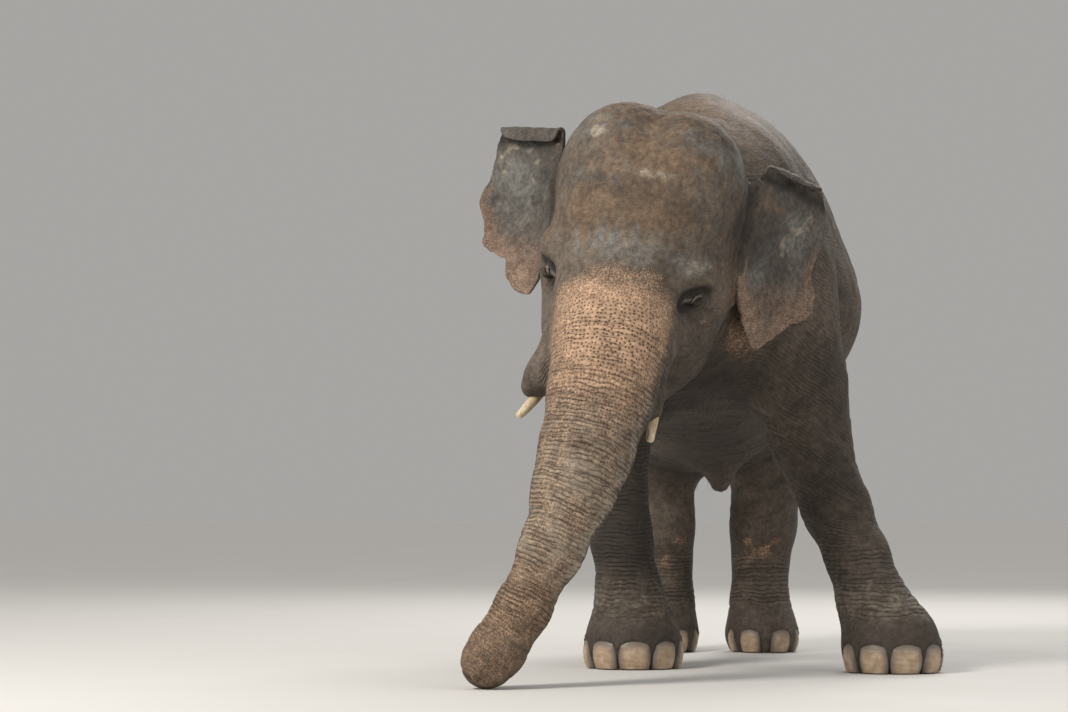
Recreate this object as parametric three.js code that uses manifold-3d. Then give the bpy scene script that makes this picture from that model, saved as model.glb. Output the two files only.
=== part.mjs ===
// Asian elephant, a still life-size model.
//
// The animal stands facing -Y, with its left side at +X and up at +Z. Sizes are in millimetres.
// The flesh is one continuous body, given as a field: the signed distance from any point to its
// surface, blended from tapered limbs, rounded masses and a torso drawn by its profile lines.
// Each part of the body is a length of that surface, parted from the next by a thin flat cut.
// Eyes, tusks, nails, ears and tail are pieces of their own, set into the flesh.
import * as THREE from 'three';
import { mergeVertices } from 'three/addons/utils/BufferGeometryUtils.js';
import Module from 'manifold-3d';

const wasm = await Module();
wasm.setup();

// ---------------------------------------------------------------- driving dimensions

const GAP = 0.5; // clearance between neighbouring pieces
const CELL = { torso: 144, neck: 118, head: 79, jaw: 88, trunk: 70, leg: 104, foot: 96 };

const BACK_HEIGHT = 2540;
const BARREL_HALF = 665;
const UPPER_BOW = 1.85; // exponent of the section above its middle: under 2 leaves a spine ridge
const LOWER_BOW = 2.1;

// Profile lines of the torso, from the chest to the rump. mid is the sideways sway of the spine.
const TORSO_STATIONS = [
  { y: -360, top: 2080, bottom: 1250, half: 330, mid: -95 },
  { y: 0, top: 2370, bottom: 1110, half: 430, mid: -90 },
  { y: 380, top: 2495, bottom: 990, half: 550, mid: -75 },
  { y: 780, top: BACK_HEIGHT, bottom: 880, half: BARREL_HALF - 20, mid: -50 },
  { y: 1150, top: 2480, bottom: 865, half: BARREL_HALF, mid: -15 },
  { y: 1480, top: 2310, bottom: 960, half: 570, mid: 20 },
  { y: 1820, top: 2060, bottom: 1150, half: 400, mid: 40 },
];
const FLANK = { x: 370, y: 950, z: 1580, halfWidth: 330, halfLength: 520, halfHeight: 330, sway: -20 };
const CHEST_ROUNDING = { start: -160, end: -400 };
const RUMP_ROUNDING = { start: 1420, end: 1830 };

// The head's own frame: origin midway between the eyes, +X its left, +Y back, +Z its crown.
const HEAD = {
  place: new THREE.Vector3(-457, -775, 1565),
  turn: THREE.MathUtils.degToRad(-14),
  roll: THREE.MathUtils.degToRad(12),
  nod: THREE.MathUtils.degToRad(8),
};
const EYE = { x: 306, y: -8, z: 0, radius: 22 };
const TUSK = { radius: 24, tip: 15, root: 130, shown: 125 };

// Trunk centreline from between the eyes to the tip on the floor: x, y, z, radius.
const TRUNK_LINE = [
  [-474, -835, 1540, 222],
  [-510, -955, 1310, 222],
  [-550, -1055, 1118, 200],
  [-608, -1150, 901, 176],
  [-660, -1220, 744, 151],
  [-742, -1310, 524, 116],
  [-855, -1390, 296, 99],
  [-947, -1440, 150, 100],
  [-990, -1465, 96, 99],
];
const TRUNK_CUTS = [2.45, 4.5, 6.0]; // stations along the line, counted in its points

// Each leg's axis from the trunk of the body to the middle of the foot: x, y, z, radius.
const FORELEG_LEFT = [
  [212, -30, 1640, 262],
  [318, -20, 1210, 200],
  [366, 0, 961, 165],
  [467, -95, 672, 139],
  [546, -170, 472, 128],
  [597, -245, 294, 140],
  [655, -310, 150, 175],
];
const FORELEG_RIGHT = [
  [-345, 20, 1640, 270],
  [-452, 50, 1210, 195],
  [-478, 60, 965, 156],
  [-440, 30, 560, 126],
  [-405, 5, 300, 137],
  [-391, -8, 150, 172],
];
const FOREFOOT = { left: [668, -332], right: [-390, -14], radius: 205, level: 95 };
const HINDLEG = [
  [262, 1350, 1480, 290],
  [292, 1240, 930, 175],
  [272, 1340, 600, 138],
  [256, 1415, 390, 122],
  [252, 1420, 240, 130],
];
const HAUNCH = [
  [230, 1560, 1380, 240],
  [262, 1500, 900, 150],
  [258, 1465, 560, 112],
];
const HINDFOOT = { left: [265, 1412], right: [-207, 1412], radius: 158, level: 85, length: 40 };
const HIP_MIDLINE = 29;

const TAIL_LINE = [
  [34, 1650, 1960],
  [38, 1790, 1905],
  [42, 1900, 1770],
  [42, 1962, 1520],
  [32, 1988, 1260],
  [18, 1998, 1040],
];
const TAIL = { rootRadius: 62, endRadius: 15, steps: 9, sides: 8, rootCap: 60 };
const TAIL_TUFT = { length: 320, halfWidth: 55, halfDepth: 30, overlap: 75 };

// ---------------------------------------------------------------- fields

const clamp = THREE.MathUtils.clamp;

function smoothUnion(a, b, blend) {
  const overlap = Math.max(blend - Math.abs(a - b), 0) / blend;
  return Math.min(a, b) - overlap * overlap * blend * 0.25;
}

const smoothCut = (a, b, blend) => -smoothUnion(-a, b, blend);

// Distance to a cone with round ends: a sphere at each end and the tapered skin between them.
function taperedLimb(start, end) {
  const [ax, ay, az, startRadius] = start;
  const [bx, by, bz, endRadius] = end;
  const axis = [bx - ax, by - ay, bz - az];
  const lengthSq = axis[0] ** 2 + axis[1] ** 2 + axis[2] ** 2;
  const taper = startRadius - endRadius;
  const slantSq = lengthSq - taper * taper;
  return (x, y, z) => {
    const px = x - ax;
    const py = y - ay;
    const pz = z - az;
    const along = px * axis[0] + py * axis[1] + pz * axis[2];
    const beyond = along - lengthSq;
    const qx = px * lengthSq - axis[0] * along;
    const qy = py * lengthSq - axis[1] * along;
    const qz = pz * lengthSq - axis[2] * along;
    const offSq = qx * qx + qy * qy + qz * qz;
    const side = Math.sign(taper) * taper * taper * offSq;
    if (Math.sign(beyond) * slantSq * beyond * beyond * lengthSq > side) {
      return Math.sqrt(offSq + beyond * beyond * lengthSq) / lengthSq - endRadius;
    }
    if (Math.sign(along) * slantSq * along * along * lengthSq < side) {
      return Math.sqrt(offSq + along * along * lengthSq) / lengthSq - startRadius;
    }
    return (Math.sqrt((offSq * slantSq) / lengthSq) + along * taper) / lengthSq - startRadius;
  };
}

// A limb through several stations, each joined to the next with a soft blend.
function limb(stations, blend = 60) {
  const lengths = stations.slice(1).map((station, i) => taperedLimb(stations[i], station));
  return (x, y, z) => lengths.reduce((d, part) => smoothUnion(d, part(x, y, z), blend), 1e6);
}

const ball = ([cx, cy, cz, radius]) => (x, y, z) => Math.hypot(x - cx, y - cy, z - cz) - radius;

// A rounded mass with three half-sizes.
function mass([cx, cy, cz], [rx, ry, rz]) {
  return (x, y, z) => {
    const px = (x - cx) / rx;
    const py = (y - cy) / ry;
    const pz = (z - cz) / rz;
    const reach = Math.hypot(px, py, pz);
    const slope = Math.hypot(px / rx, py / ry, pz / rz);
    return slope < 1e-9 ? -Math.min(rx, ry, rz) : (reach * (reach - 1)) / slope;
  };
}

// Both sides of a symmetric shape at once.
const paired = (field) => (x, y, z) => field(Math.abs(x), y, z);

// A value along Y drawn through the stations by a cubic with matched slopes.
function profileLine(stations, key) {
  const slope = (i) => {
    const before = stations[Math.max(i - 1, 0)];
    const after = stations[Math.min(i + 1, stations.length - 1)];
    return (after[key] - before[key]) / (after.y - before.y);
  };
  return (y) => {
    const at = clamp(y, stations[0].y, stations[stations.length - 1].y);
    let i = 0;
    while (i < stations.length - 2 && at > stations[i + 1].y) i += 1;
    const span = stations[i + 1].y - stations[i].y;
    const t = (at - stations[i].y) / span;
    const rise = t * t * (3 - 2 * t);
    const lead = t * (1 - t) * (1 - t) * span;
    const trail = t * t * (t - 1) * span;
    return stations[i][key] * (1 - rise) + stations[i + 1][key] * rise
      + slope(i) * lead + slope(i + 1) * trail;
  };
}

const topLine = profileLine(TORSO_STATIONS, 'top');
const bottomLine = profileLine(TORSO_STATIONS, 'bottom');
const halfLine = profileLine(TORSO_STATIONS, 'half');
const midLine = profileLine(TORSO_STATIONS, 'mid');

// How far a level lies into a rounded end: 0 where the rounding starts and 1 at the very end.
const intoEnd = (y, { start, end }) => Math.max((y - start) / (end - start), 0);

// How far out of the torso a point lies, from 0 on its middle line to 1 on the skin.
function torsoReach(x, y, z) {
  const across = Math.abs(x - midLine(y)) / halfLine(y);
  const up = (z - (topLine(y) + bottomLine(y)) / 2) / ((topLine(y) - bottomLine(y)) / 2);
  const bow = up > 0 ? UPPER_BOW : LOWER_BOW;
  const section = (across ** bow + Math.abs(up) ** bow) ** (1 / bow);
  return Math.hypot(section, intoEnd(y, CHEST_ROUNDING), intoEnd(y, RUMP_ROUNDING));
}

function torso(x, y, z) {
  const step = 4;
  const reach = torsoReach(x, y, z);
  const slope = Math.hypot(
    torsoReach(x + step, y, z) - reach,
    torsoReach(x, y + step, z) - reach,
    torsoReach(x, y, z + step) - reach,
  ) / step;
  return (reach - 1) / Math.max(slope, 1e-4);
}

// The ribs and belly bulge out low down behind the shoulder.
const flank = paired(mass(
  [FLANK.x, FLANK.y, FLANK.z],
  [FLANK.halfWidth, FLANK.halfLength, FLANK.halfHeight],
));

const neckUpper = limb([[-60, 90, 1935, 395], [-265, -330, 1950, 320]]);
const neckLower = limb([[-90, 0, 1660, 395], [-300, -400, 1570, 300]]);
const neck = (x, y, z) => smoothUnion(neckUpper(x, y, z), neckLower(x, y, z), 160);

// Head masses, in the head's frame.
const cranium = mass([0, 270, 300], [395, 340, 400]);
const domes = paired(mass([135, 190, 430], [240, 275, 290]));
const forehead = mass([0, 110, 240], [340, 320, 330]);
const brow = paired(mass([255, 60, 110], [120, 150, 100]));
const zygoma = paired(mass([275, 200, 40], [118, 190, 200]));
const cheek = paired(mass([205, 160, -150], [140, 200, 210]));
const nose = mass([0, -30, -60], [265, 215, 290]);
const eyeMound = paired(mass([262, 22, 0], [70, 74, 66]));
const browDip = mass([0, -345, 230], [190, 100, 130]);
const tuskSheath = paired(limb([
  [130, -60, -180, 130], [205, -190, -385, 70], [245, -200, -442, 46],
]));
const mandible = paired(limb([[205, 230, -250, 130], [115, 80, -420, 105]]));
const lip = limb([[0, 90, -430, 120], [0, -90, -545, 78], [0, -185, -610, 42]]);

const headMatrix = new THREE.Matrix4().compose(
  HEAD.place,
  new THREE.Quaternion().setFromEuler(new THREE.Euler(HEAD.nod, HEAD.roll, HEAD.turn, 'ZYX')),
  new THREE.Vector3(1, 1, 1),
);
const toHead = headMatrix.clone().invert();
const probe = new THREE.Vector3();

function skull(hx, hy, hz) {
  let d = smoothUnion(cranium(hx, hy, hz), domes(hx, hy, hz), 90);
  d = smoothUnion(d, forehead(hx, hy, hz), 90);
  d = smoothUnion(d, nose(hx, hy, hz), 110);
  d = smoothUnion(d, cheek(hx, hy, hz), 90);
  d = smoothUnion(d, zygoma(hx, hy, hz), 90);
  d = smoothUnion(d, brow(hx, hy, hz), 60);
  d = smoothCut(d, browDip(hx, hy, hz), 120);
  d = smoothUnion(d, eyeMound(hx, hy, hz), 40);
  return smoothUnion(d, mandible(hx, hy, hz), 80);
}

const trunkTube = limb(TRUNK_LINE, 70);

function head(x, y, z) {
  probe.set(x, y, z).applyMatrix4(toHead);
  const { x: hx, y: hy, z: hz } = probe;
  const upper = smoothUnion(skull(hx, hy, hz), trunkTube(x, y, z), 90);
  const sheathed = smoothUnion(upper, tuskSheath(hx, hy, hz), 60);
  return smoothUnion(sheathed, lip(hx, hy, hz), 50);
}

const mirrored = (stations) => stations.map(([x, y, z, r]) => [2 * HIP_MIDLINE - x, y, z, r]);

function foreleg(axis, [footX, footY]) {
  const column = limb([...axis, [footX, footY, FOREFOOT.level, FOREFOOT.radius]]);
  const [elbowX, elbowY, elbowZ] = axis[2];
  const elbow = ball([elbowX, elbowY + 90, elbowZ + 105, 132]);
  return (x, y, z) => smoothUnion(column(x, y, z), elbow(x, y, z), 130);
}

function hindleg(axis, haunchAxis, [footX, footY]) {
  const foot = [-HINDFOOT.length, HINDFOOT.length]
    .map((shift) => [footX, footY + shift, HINDFOOT.level, HINDFOOT.radius]);
  const shank = limb([...axis, foot[1], foot[0]]);
  const haunch = limb(haunchAxis);
  return (x, y, z) => smoothUnion(shank(x, y, z), haunch(x, y, z), 140);
}

const legs = [
  foreleg(FORELEG_LEFT, FOREFOOT.left),
  foreleg(FORELEG_RIGHT, FOREFOOT.right),
  hindleg(HINDLEG, HAUNCH, HINDFOOT.left),
  hindleg(mirrored(HINDLEG), mirrored(HAUNCH), HINDFOOT.right),
];
const groinFold = limb([[HIP_MIDLINE, 860, 960, 105], [36, 905, 790, 48]]);

function trunkOfBody(x, y, z) {
  const ribbed = smoothUnion(torso(x, y, z), flank(x - FLANK.sway, y, z), 120);
  const barrel = smoothUnion(ribbed, neck(x, y, z), 170);
  const legged = legs.reduce((d, leg) => smoothUnion(d, leg(x, y, z), 180), barrel);
  return smoothUnion(legged, groinFold(x, y, z), 90);
}

const body = (x, y, z) => smoothUnion(trunkOfBody(x, y, z), head(x, y, z), 120);

// ---------------------------------------------------------------- surfaces from a field

const CORNERS = [0, 1, 2, 3, 4, 5, 6, 7].map((c) => [c & 1, (c >> 1) & 1, (c >> 2) & 1]);
const EDGES = CORNERS.flatMap((_, c) => (
  [1, 2, 4].filter((bit) => !(c & bit)).map((bit) => [c, c + bit])
));

function slopeAt(field, [x, y, z]) {
  const step = 3;
  const slope = [
    field(x + step, y, z) - field(x - step, y, z),
    field(x, y + step, z) - field(x, y - step, z),
    field(x, y, z + step) - field(x, y, z - step),
  ];
  return slope.map((s) => s / (2 * step));
}

// One vertex in each grid cell that the surface crosses, then drawn onto the surface and evened.
function surfaceOf(field, low, high, cell) {
  const count = low.map((value, a) => Math.ceil((high[a] - value) / cell) + 1);
  const stride = [1, count[0], count[0] * count[1]];
  const gridPoint = (cellIndex) => cellIndex.map((i, a) => low[a] + i * cell);
  const values = new Float64Array(count[0] * count[1] * count[2]);
  const onRim = (index) => index.some((i, a) => i === 0 || i === count[a] - 1);
  for (let k = 0; k < count[2]; k += 1) {
    for (let j = 0; j < count[1]; j += 1) {
      for (let i = 0; i < count[0]; i += 1) {
        const value = field(...gridPoint([i, j, k]));
        const walled = onRim([i, j, k]) ? Math.max(value, cell / 2) : value;
        values[i + j * stride[1] + k * stride[2]] = walled;
      }
    }
  }

  const vertices = [];
  const loose = []; // vertices on the true surface, not on the closing wall of the grid
  const vertexOf = new Map();
  for (let k = 0; k < count[2] - 1; k += 1) {
    for (let j = 0; j < count[1] - 1; j += 1) {
      for (let i = 0; i < count[0] - 1; i += 1) {
        const at = i + j * stride[1] + k * stride[2];
        const corner = CORNERS.map((c) => values[at + c[0] + c[1] * stride[1] + c[2] * stride[2]]);
        const crossings = EDGES.filter(([a, b]) => corner[a] < 0 !== corner[b] < 0);
        if (!crossings.length) continue;
        const sum = [0, 0, 0];
        for (const [a, b] of crossings) {
          const t = corner[a] / (corner[a] - corner[b]);
          for (let n = 0; n < 3; n += 1) {
            sum[n] += CORNERS[a][n] + t * (CORNERS[b][n] - CORNERS[a][n]);
          }
        }
        vertexOf.set(at, vertices.length);
        loose.push([i, j, k].every((n, a) => n > 0 && n < count[a] - 2));
        vertices.push(gridPoint([i, j, k].map((n, a) => n + sum[a] / crossings.length)));
      }
    }
  }

  const quads = [];
  for (let k = 0; k < count[2] - 1; k += 1) {
    for (let j = 0; j < count[1] - 1; j += 1) {
      for (let i = 0; i < count[0] - 1; i += 1) {
        const at = i + j * stride[1] + k * stride[2];
        for (let a = 0; a < 3; a += 1) {
          const inside = values[at] < 0;
          const alongWall = [i, j, k].some((n, axis) => axis !== a && n === 0);
          if (alongWall || inside === values[at + stride[a]] < 0) continue;
          const u = stride[(a + 1) % 3];
          const v = stride[(a + 2) % 3];
          const around = [at, at - u, at - u - v, at - v].map((cellAt) => vertexOf.get(cellAt));
          quads.push(inside ? around : around.reverse());
        }
      }
    }
  }
  return evened(field, vertices, quads, loose);
}

// Slides vertices along the surface towards the middle of their neighbours, keeping them on it.
function evened(field, vertices, quads, loose) {
  const neighbours = vertices.map(() => new Set());
  for (const quad of quads) {
    quad.forEach((v, n) => {
      neighbours[v].add(quad[(n + 1) % 4]);
      neighbours[quad[(n + 1) % 4]].add(v);
    });
  }
  for (let pass = 0; pass < 6; pass += 1) {
    const middles = vertices.map((vertex, v) => {
      const around = [...neighbours[v]];
      return vertex.map((_, a) => around.reduce((sum, n) => sum + vertices[n][a], 0) / around.length);
    });
    vertices.forEach((vertex, v) => {
      if (!loose[v]) return;
      const moved = vertex.map((value, a) => value + 0.5 * (middles[v][a] - value));
      const slope = slopeAt(field, moved);
      const steep = Math.max(slope[0] ** 2 + slope[1] ** 2 + slope[2] ** 2, 0.2);
      const distance = field(...moved);
      vertices[v] = moved.map((value, a) => value - (distance * slope[a]) / steep);
    });
  }

  const away = (a, b) => Math.hypot(...vertices[a].map((value, n) => value - vertices[b][n]));
  const triangles = quads.flatMap(([a, b, c, d]) => (
    away(a, c) < away(b, d) ? [a, b, c, a, c, d] : [b, c, d, b, d, a]
  ));
  const geometry = new THREE.BufferGeometry();
  geometry.setAttribute('position', new THREE.Float32BufferAttribute(vertices.flat(), 3));
  geometry.setIndex(triangles);
  return geometry;
}

// ---------------------------------------------------------------- solids, cuts and joins

// The geometry with corners joined and nothing kept but positions.
function joined(geometry) {
  const bare = geometry.clone();
  bare.deleteAttribute('normal');
  bare.deleteAttribute('uv');
  return mergeVertices(bare, 1e-3);
}

function solid(geometry, matrix = new THREE.Matrix4()) {
  const merged = joined(geometry).applyMatrix4(matrix);
  return new wasm.Manifold(new wasm.Mesh({
    numProp: 3,
    vertProperties: new Float32Array(merged.attributes.position.array),
    triVerts: new Uint32Array(merged.index.array),
  }));
}

function geometryOf(piece) {
  const mesh = piece.getMesh();
  const geometry = new THREE.BufferGeometry();
  geometry.setAttribute('position', new THREE.BufferAttribute(mesh.vertProperties, mesh.numProp));
  geometry.setIndex(new THREE.BufferAttribute(mesh.triVerts, 1));
  return geometry;
}

// The same geometry pushed out along its normals, to cut a seat with clearance.
function swollen(geometry, amount) {
  const merged = joined(geometry);
  merged.computeVertexNormals();
  const { position, normal } = merged.attributes;
  for (let i = 0; i < position.count; i += 1) {
    position.setXYZ(
      i,
      position.getX(i) + amount * normal.getX(i),
      position.getY(i) + amount * normal.getY(i),
      position.getZ(i) + amount * normal.getZ(i),
    );
  }
  return merged;
}

function block(low, high) {
  const size = high.map((value, a) => value - low[a]);
  const middle = high.map((value, a) => (value + low[a]) / 2);
  return solid(new THREE.BoxGeometry(...size), new THREE.Matrix4().makeTranslation(...middle));
}

// Everything on the side of a plane that its direction points to, out to a good distance.
function beyond(point, direction, shift = 0) {
  const size = 6000;
  const normal = new THREE.Vector3(...direction).normalize();
  const turn = new THREE.Quaternion().setFromUnitVectors(new THREE.Vector3(0, 0, 1), normal);
  const place = new THREE.Vector3(...point).addScaledVector(normal, size / 2 + shift);
  const matrix = new THREE.Matrix4().compose(place, turn, new THREE.Vector3(1, 1, 1));
  return solid(new THREE.BoxGeometry(size, size, size), matrix);
}

const opposite = (direction) => direction.map((value) => -value);
const aboveFloor = () => beyond([0, 0, 0], [0, 0, 1]);

// ---------------------------------------------------------------- materials

const finish = (color, roughness) => new THREE.MeshStandardMaterial({ color, roughness, metalness: 0 });
const SKIN = finish('#75695f', 0.85);
const FACE = finish('#8a6f5c', 0.85);
const EAR_SKIN = finish('#6e6560', 0.85);
const NAIL = finish('#b39d80', 0.6);
const IVORY = finish('#ddd0b4', 0.4);
const EYE_WET = finish('#241a12', 0.1);
const TAIL_HAIR = finish('#2b2725', 0.6);

const elephant = new THREE.Group();

function addPiece(name, geometry, material, parent = elephant) {
  const mesh = new THREE.Mesh(geometry, material);
  mesh.name = name;
  parent.add(mesh);
  return mesh;
}

// ---------------------------------------------------------------- pieces set into the head

const headFrame = new THREE.Group();
headMatrix.decompose(headFrame.position, headFrame.quaternion, headFrame.scale);
elephant.add(headFrame);
const SIDES = { left: 1, right: -1 };

const eyeGeometry = new THREE.SphereGeometry(EYE.radius, 8, 6);
for (const [side, sign] of Object.entries(SIDES)) {
  const eye = addPiece(`eye_${side}`, eyeGeometry, EYE_WET, headFrame);
  eye.position.set(sign * EYE.x, EYE.y, EYE.z);
}

// A blunt tusk on its own +Z, with its root inside the flesh.
const tuskProfile = [
  [0, -TUSK.root], [TUSK.radius, -TUSK.root], [TUSK.radius, 0], [TUSK.radius - 2, TUSK.shown * 0.6],
  [TUSK.tip, TUSK.shown - 8], [0, TUSK.shown],
].map(([radius, height]) => new THREE.Vector2(radius, height));
const tuskGeometry = new THREE.LatheGeometry(tuskProfile, 8).rotateX(Math.PI / 2);
const TUSK_SEATS = {
  left: { at: [262, -205, -445], along: [0.12, -0.45, -0.88] },
  right: { at: [-222, -200, -475], along: [-0.3, -0.6, -0.74] },
};
for (const [side, seat] of Object.entries(TUSK_SEATS)) {
  const tusk = addPiece(`tusk_${side}`, tuskGeometry, IVORY, headFrame);
  const along = new THREE.Vector3(...seat.along).normalize();
  tusk.position.set(...seat.at);
  tusk.quaternion.setFromUnitVectors(new THREE.Vector3(0, 0, 1), along);
}

// ---------------------------------------------------------------- ears

// Rim of each spread ear: out from the hinge and up, around the edge from the upper hinge.
const EAR_RIMS = {
  left: [
    [0, 240], [85, 410], [200, 425], [310, 375], [392, 290], [428, 180], [446, 75], [422, -45],
    [424, -136], [412, -232], [342, -282], [275, -334], [186, -392], [110, -366], [20, -246],
    [-30, -140], [-30, -10],
  ],
  right: [
    [0, 240], [60, 415], [200, 415], [330, 380], [405, 290], [434, 140], [452, 40], [464, -45],
    [434, -115], [424, -175], [430, -230], [325, -266], [268, -268], [240, -318], [180, -364],
    [110, -380], [50, -345], [-30, -200], [-30, -10],
  ],
};
const EAR_MIDDLE = [190, 20];
const EAR = {
  thickness: 26, foldRadius: 32, rollLimit: 2.7, dish: 0.0004, dishFrom: 120, dropFrom: 100,
};

// The ears differ: how far each swings back, how high it folds over and how the fold drops outwards.
const EAR_SEATS = {
  left: { at: [400, 320, 190], swing: 61, fold: 331, drop: 14, flap: 92, lobeForward: 20 },
  right: { at: [-410, 310, 225], swing: 40, fold: 286, drop: 9, flap: 104, lobeForward: 0 },
};

// How far a point of the flat pattern lies beyond the fold line, and how far along it.
function fromFold(out, up, { fold, drop }) {
  const slope = THREE.MathUtils.degToRad(drop);
  const [along, above] = [out - EAR.dropFrom, up - fold];
  return {
    past: above * Math.cos(slope) + along * Math.sin(slope),
    level: along * Math.cos(slope) - above * Math.sin(slope),
  };
}

// A leaf-shaped plate: its rim follows the outline and its faces dish and roll over at the top.
function earGeometry(side) {
  const seat = EAR_SEATS[side];
  const outline = new THREE.CatmullRomCurve3(
    EAR_RIMS[side].map(([out, up]) => new THREE.Vector3(out, up, 0)), true, 'centripetal',
  );
  const plate = new THREE.SphereGeometry(1, 22, 6);
  const { position } = plate.attributes;
  const centre = new THREE.Vector3(...EAR_MIDDLE, 0);
  const middlePast = fromFold(centre.x, centre.y, seat).past;
  const crest = EAR.foldRadius * (Math.PI / 2) - middlePast;
  for (let i = 0; i < position.count; i += 1) {
    const turn = Math.atan2(position.getZ(i), position.getX(i)) / (2 * Math.PI);
    const spread = Math.min(Math.hypot(position.getX(i), position.getZ(i)), 1);
    const rim = outline.getPoint(((turn % 1) + 1) % 1);
    const rimPast = fromFold(rim.x, rim.y, seat).past - middlePast;
    const onCrest = spread > 0.6 && spread < 0.95 && rimPast > crest;
    rim.sub(centre).multiplyScalar(onCrest ? crest / rimPast : spread ** 0.8).add(centre);
    const face = Math.sign(position.getY(i)) * Math.abs(position.getY(i)) ** 0.5 * (EAR.thickness / 2);
    position.setXYZ(i, ...rolledOver(rim.x, rim.y, face, seat));
  }
  return plate;
}

// Rolls the part above the fold line forward, and dishes the rest.
function rolledOver(out, up, face, seat) {
  const dish = EAR.dish * (out - EAR.dishFrom) ** 2
    + seat.lobeForward * THREE.MathUtils.smoothstep(-up, -20, 220);
  const { past, level } = fromFold(out, up, seat);
  if (past <= 0) return [out, up, face + dish];
  const slope = THREE.MathUtils.degToRad(seat.drop);
  const rise = seat.flap * Math.tanh(past / seat.flap);
  const angle = Math.min(rise / EAR.foldRadius, EAR.rollLimit);
  const flap = rise - angle * EAR.foldRadius;
  const radius = EAR.foldRadius - face;
  const above = radius * Math.sin(angle) + flap * Math.cos(angle);
  return [
    EAR.dropFrom + level * Math.cos(slope) + above * Math.sin(slope),
    seat.fold - level * Math.sin(slope) + above * Math.cos(slope),
    EAR.foldRadius - radius * Math.cos(angle) + flap * Math.sin(angle) + dish,
  ];
}

// The plate stands up from the head's side and swings back about its hinge.
function earMatrix(side) {
  const { at, swing } = EAR_SEATS[side];
  return new THREE.Matrix4().makeScale(SIDES[side], 1, 1)
    .multiply(new THREE.Matrix4().makeTranslation(Math.abs(at[0]), at[1], at[2]))
    .multiply(new THREE.Matrix4().makeRotationZ(THREE.MathUtils.degToRad(swing)))
    .multiply(new THREE.Matrix4().makeRotationX(Math.PI / 2));
}

// A mirrored geometry has its triangles turned back to face outwards.
function shaped(geometry, matrix) {
  const result = joined(geometry).applyMatrix4(matrix);
  if (matrix.determinant() > 0) return result;
  const corners = result.index.array;
  for (let i = 0; i < corners.length; i += 3) {
    [corners[i], corners[i + 1]] = [corners[i + 1], corners[i]];
  }
  return result;
}

for (const side of Object.keys(SIDES)) {
  addPiece(`ear_${side}`, shaped(earGeometry(side), earMatrix(side)), EAR_SKIN, headFrame);
}

// ---------------------------------------------------------------- nails

// Nails stand around the front of each foot at these bearings from straight ahead.
const NAILS = {
  fore: { bearings: [-80, -41, 0, 41, 80], halves: [50, 66, 72, 66, 50], tall: 58 },
  hind: { bearings: [-80, -29, 29, 80], halves: [42, 54, 54, 42], tall: 50 },
};
const NAIL_DEPTH = 20;
const NAIL_REACH = 0.97; // how far out the nails sit, as a share of the foot's radius
const NAIL_LIFT = 6;
const nailGeometry = new THREE.SphereGeometry(1, 6, 3).rotateX(Math.PI / 2);
const FEET = {
  forefoot_left: { at: FOREFOOT.left, limb: 'fore', turn: 12 },
  forefoot_right: { at: FOREFOOT.right, limb: 'fore', turn: 0 },
  hindfoot_left: { at: HINDFOOT.left, limb: 'hind', turn: 0 },
  hindfoot_right: { at: HINDFOOT.right, limb: 'hind', turn: 0 },
};

for (const [foot, { at, limb: kind, turn }] of Object.entries(FEET)) {
  const { bearings, halves, tall } = NAILS[kind];
  const { radius, length = 0 } = kind === 'fore' ? FOREFOOT : HINDFOOT;
  bearings.forEach((degrees, n) => {
    const bearing = THREE.MathUtils.degToRad(degrees + turn);
    const nail = addPiece(`nail_${foot}_${n + 1}`, nailGeometry, NAIL);
    nail.position.set(
      at[0] + Math.sin(bearing) * radius * NAIL_REACH,
      at[1] - length - Math.cos(bearing) * radius * NAIL_REACH,
      tall + NAIL_LIFT,
    );
    nail.rotation.set(0, 0, bearing);
    nail.scale.set(halves[n], NAIL_DEPTH, tall);
  });
}

// ---------------------------------------------------------------- tail

// A lathe about its own +Z is laid along a curve, with a flat width and depth at its end.
function laidAlong(curve, length, profile, sides) {
  const rod = new THREE.LatheGeometry(profile.map(([r, h]) => new THREE.Vector2(r, h)), sides);
  const { position } = rod.attributes;
  for (let i = 0; i < position.count; i += 1) {
    const t = clamp(position.getY(i) / length, 0, 1);
    const at = curve.getPointAt(t);
    const along = curve.getTangentAt(t);
    const across = new THREE.Vector3(1, 0, 0);
    const back = new THREE.Vector3().crossVectors(across, along).normalize();
    const beyondEnd = position.getY(i) - t * length;
    at.addScaledVector(across, position.getX(i)).addScaledVector(back, position.getZ(i));
    at.addScaledVector(along, beyondEnd);
    position.setXYZ(i, at.x, at.y, at.z);
  }
  return shaped(rod, new THREE.Matrix4());
}

const tailCurve = new THREE.CatmullRomCurve3(TAIL_LINE.map((point) => new THREE.Vector3(...point)));
const tailLength = tailCurve.getLength();
const tailProfile = [[0, -TAIL.rootCap], [TAIL.rootRadius, -TAIL.rootCap]];
for (let n = 1; n <= TAIL.steps; n += 1) {
  const t = n / TAIL.steps;
  tailProfile.push([THREE.MathUtils.lerp(TAIL.rootRadius, TAIL.endRadius, t ** 0.7), t * tailLength]);
}
tailProfile.push([0, tailLength]);
const tailGeometry = laidAlong(tailCurve, tailLength, tailProfile, TAIL.sides);

const tailEnd = tailCurve.getPointAt(1);
const tuftGeometry = new THREE.SphereGeometry(1, 8, 6).rotateX(Math.PI / 2);
const tailTuft = addPiece('tail_tuft', tuftGeometry, TAIL_HAIR);
tailTuft.position.set(tailEnd.x, tailEnd.y, tailEnd.z - TAIL_TUFT.length / 2 + TAIL_TUFT.overlap);
tailTuft.scale.set(TAIL_TUFT.halfWidth, TAIL_TUFT.halfDepth, TAIL_TUFT.length / 2);

// ---------------------------------------------------------------- parting the flesh

const headAxis = (way) => new THREE.Vector3(...way).transformDirection(headMatrix).toArray();
const headPoint = (point) => new THREE.Vector3(...point).applyMatrix4(headMatrix).toArray();

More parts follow.
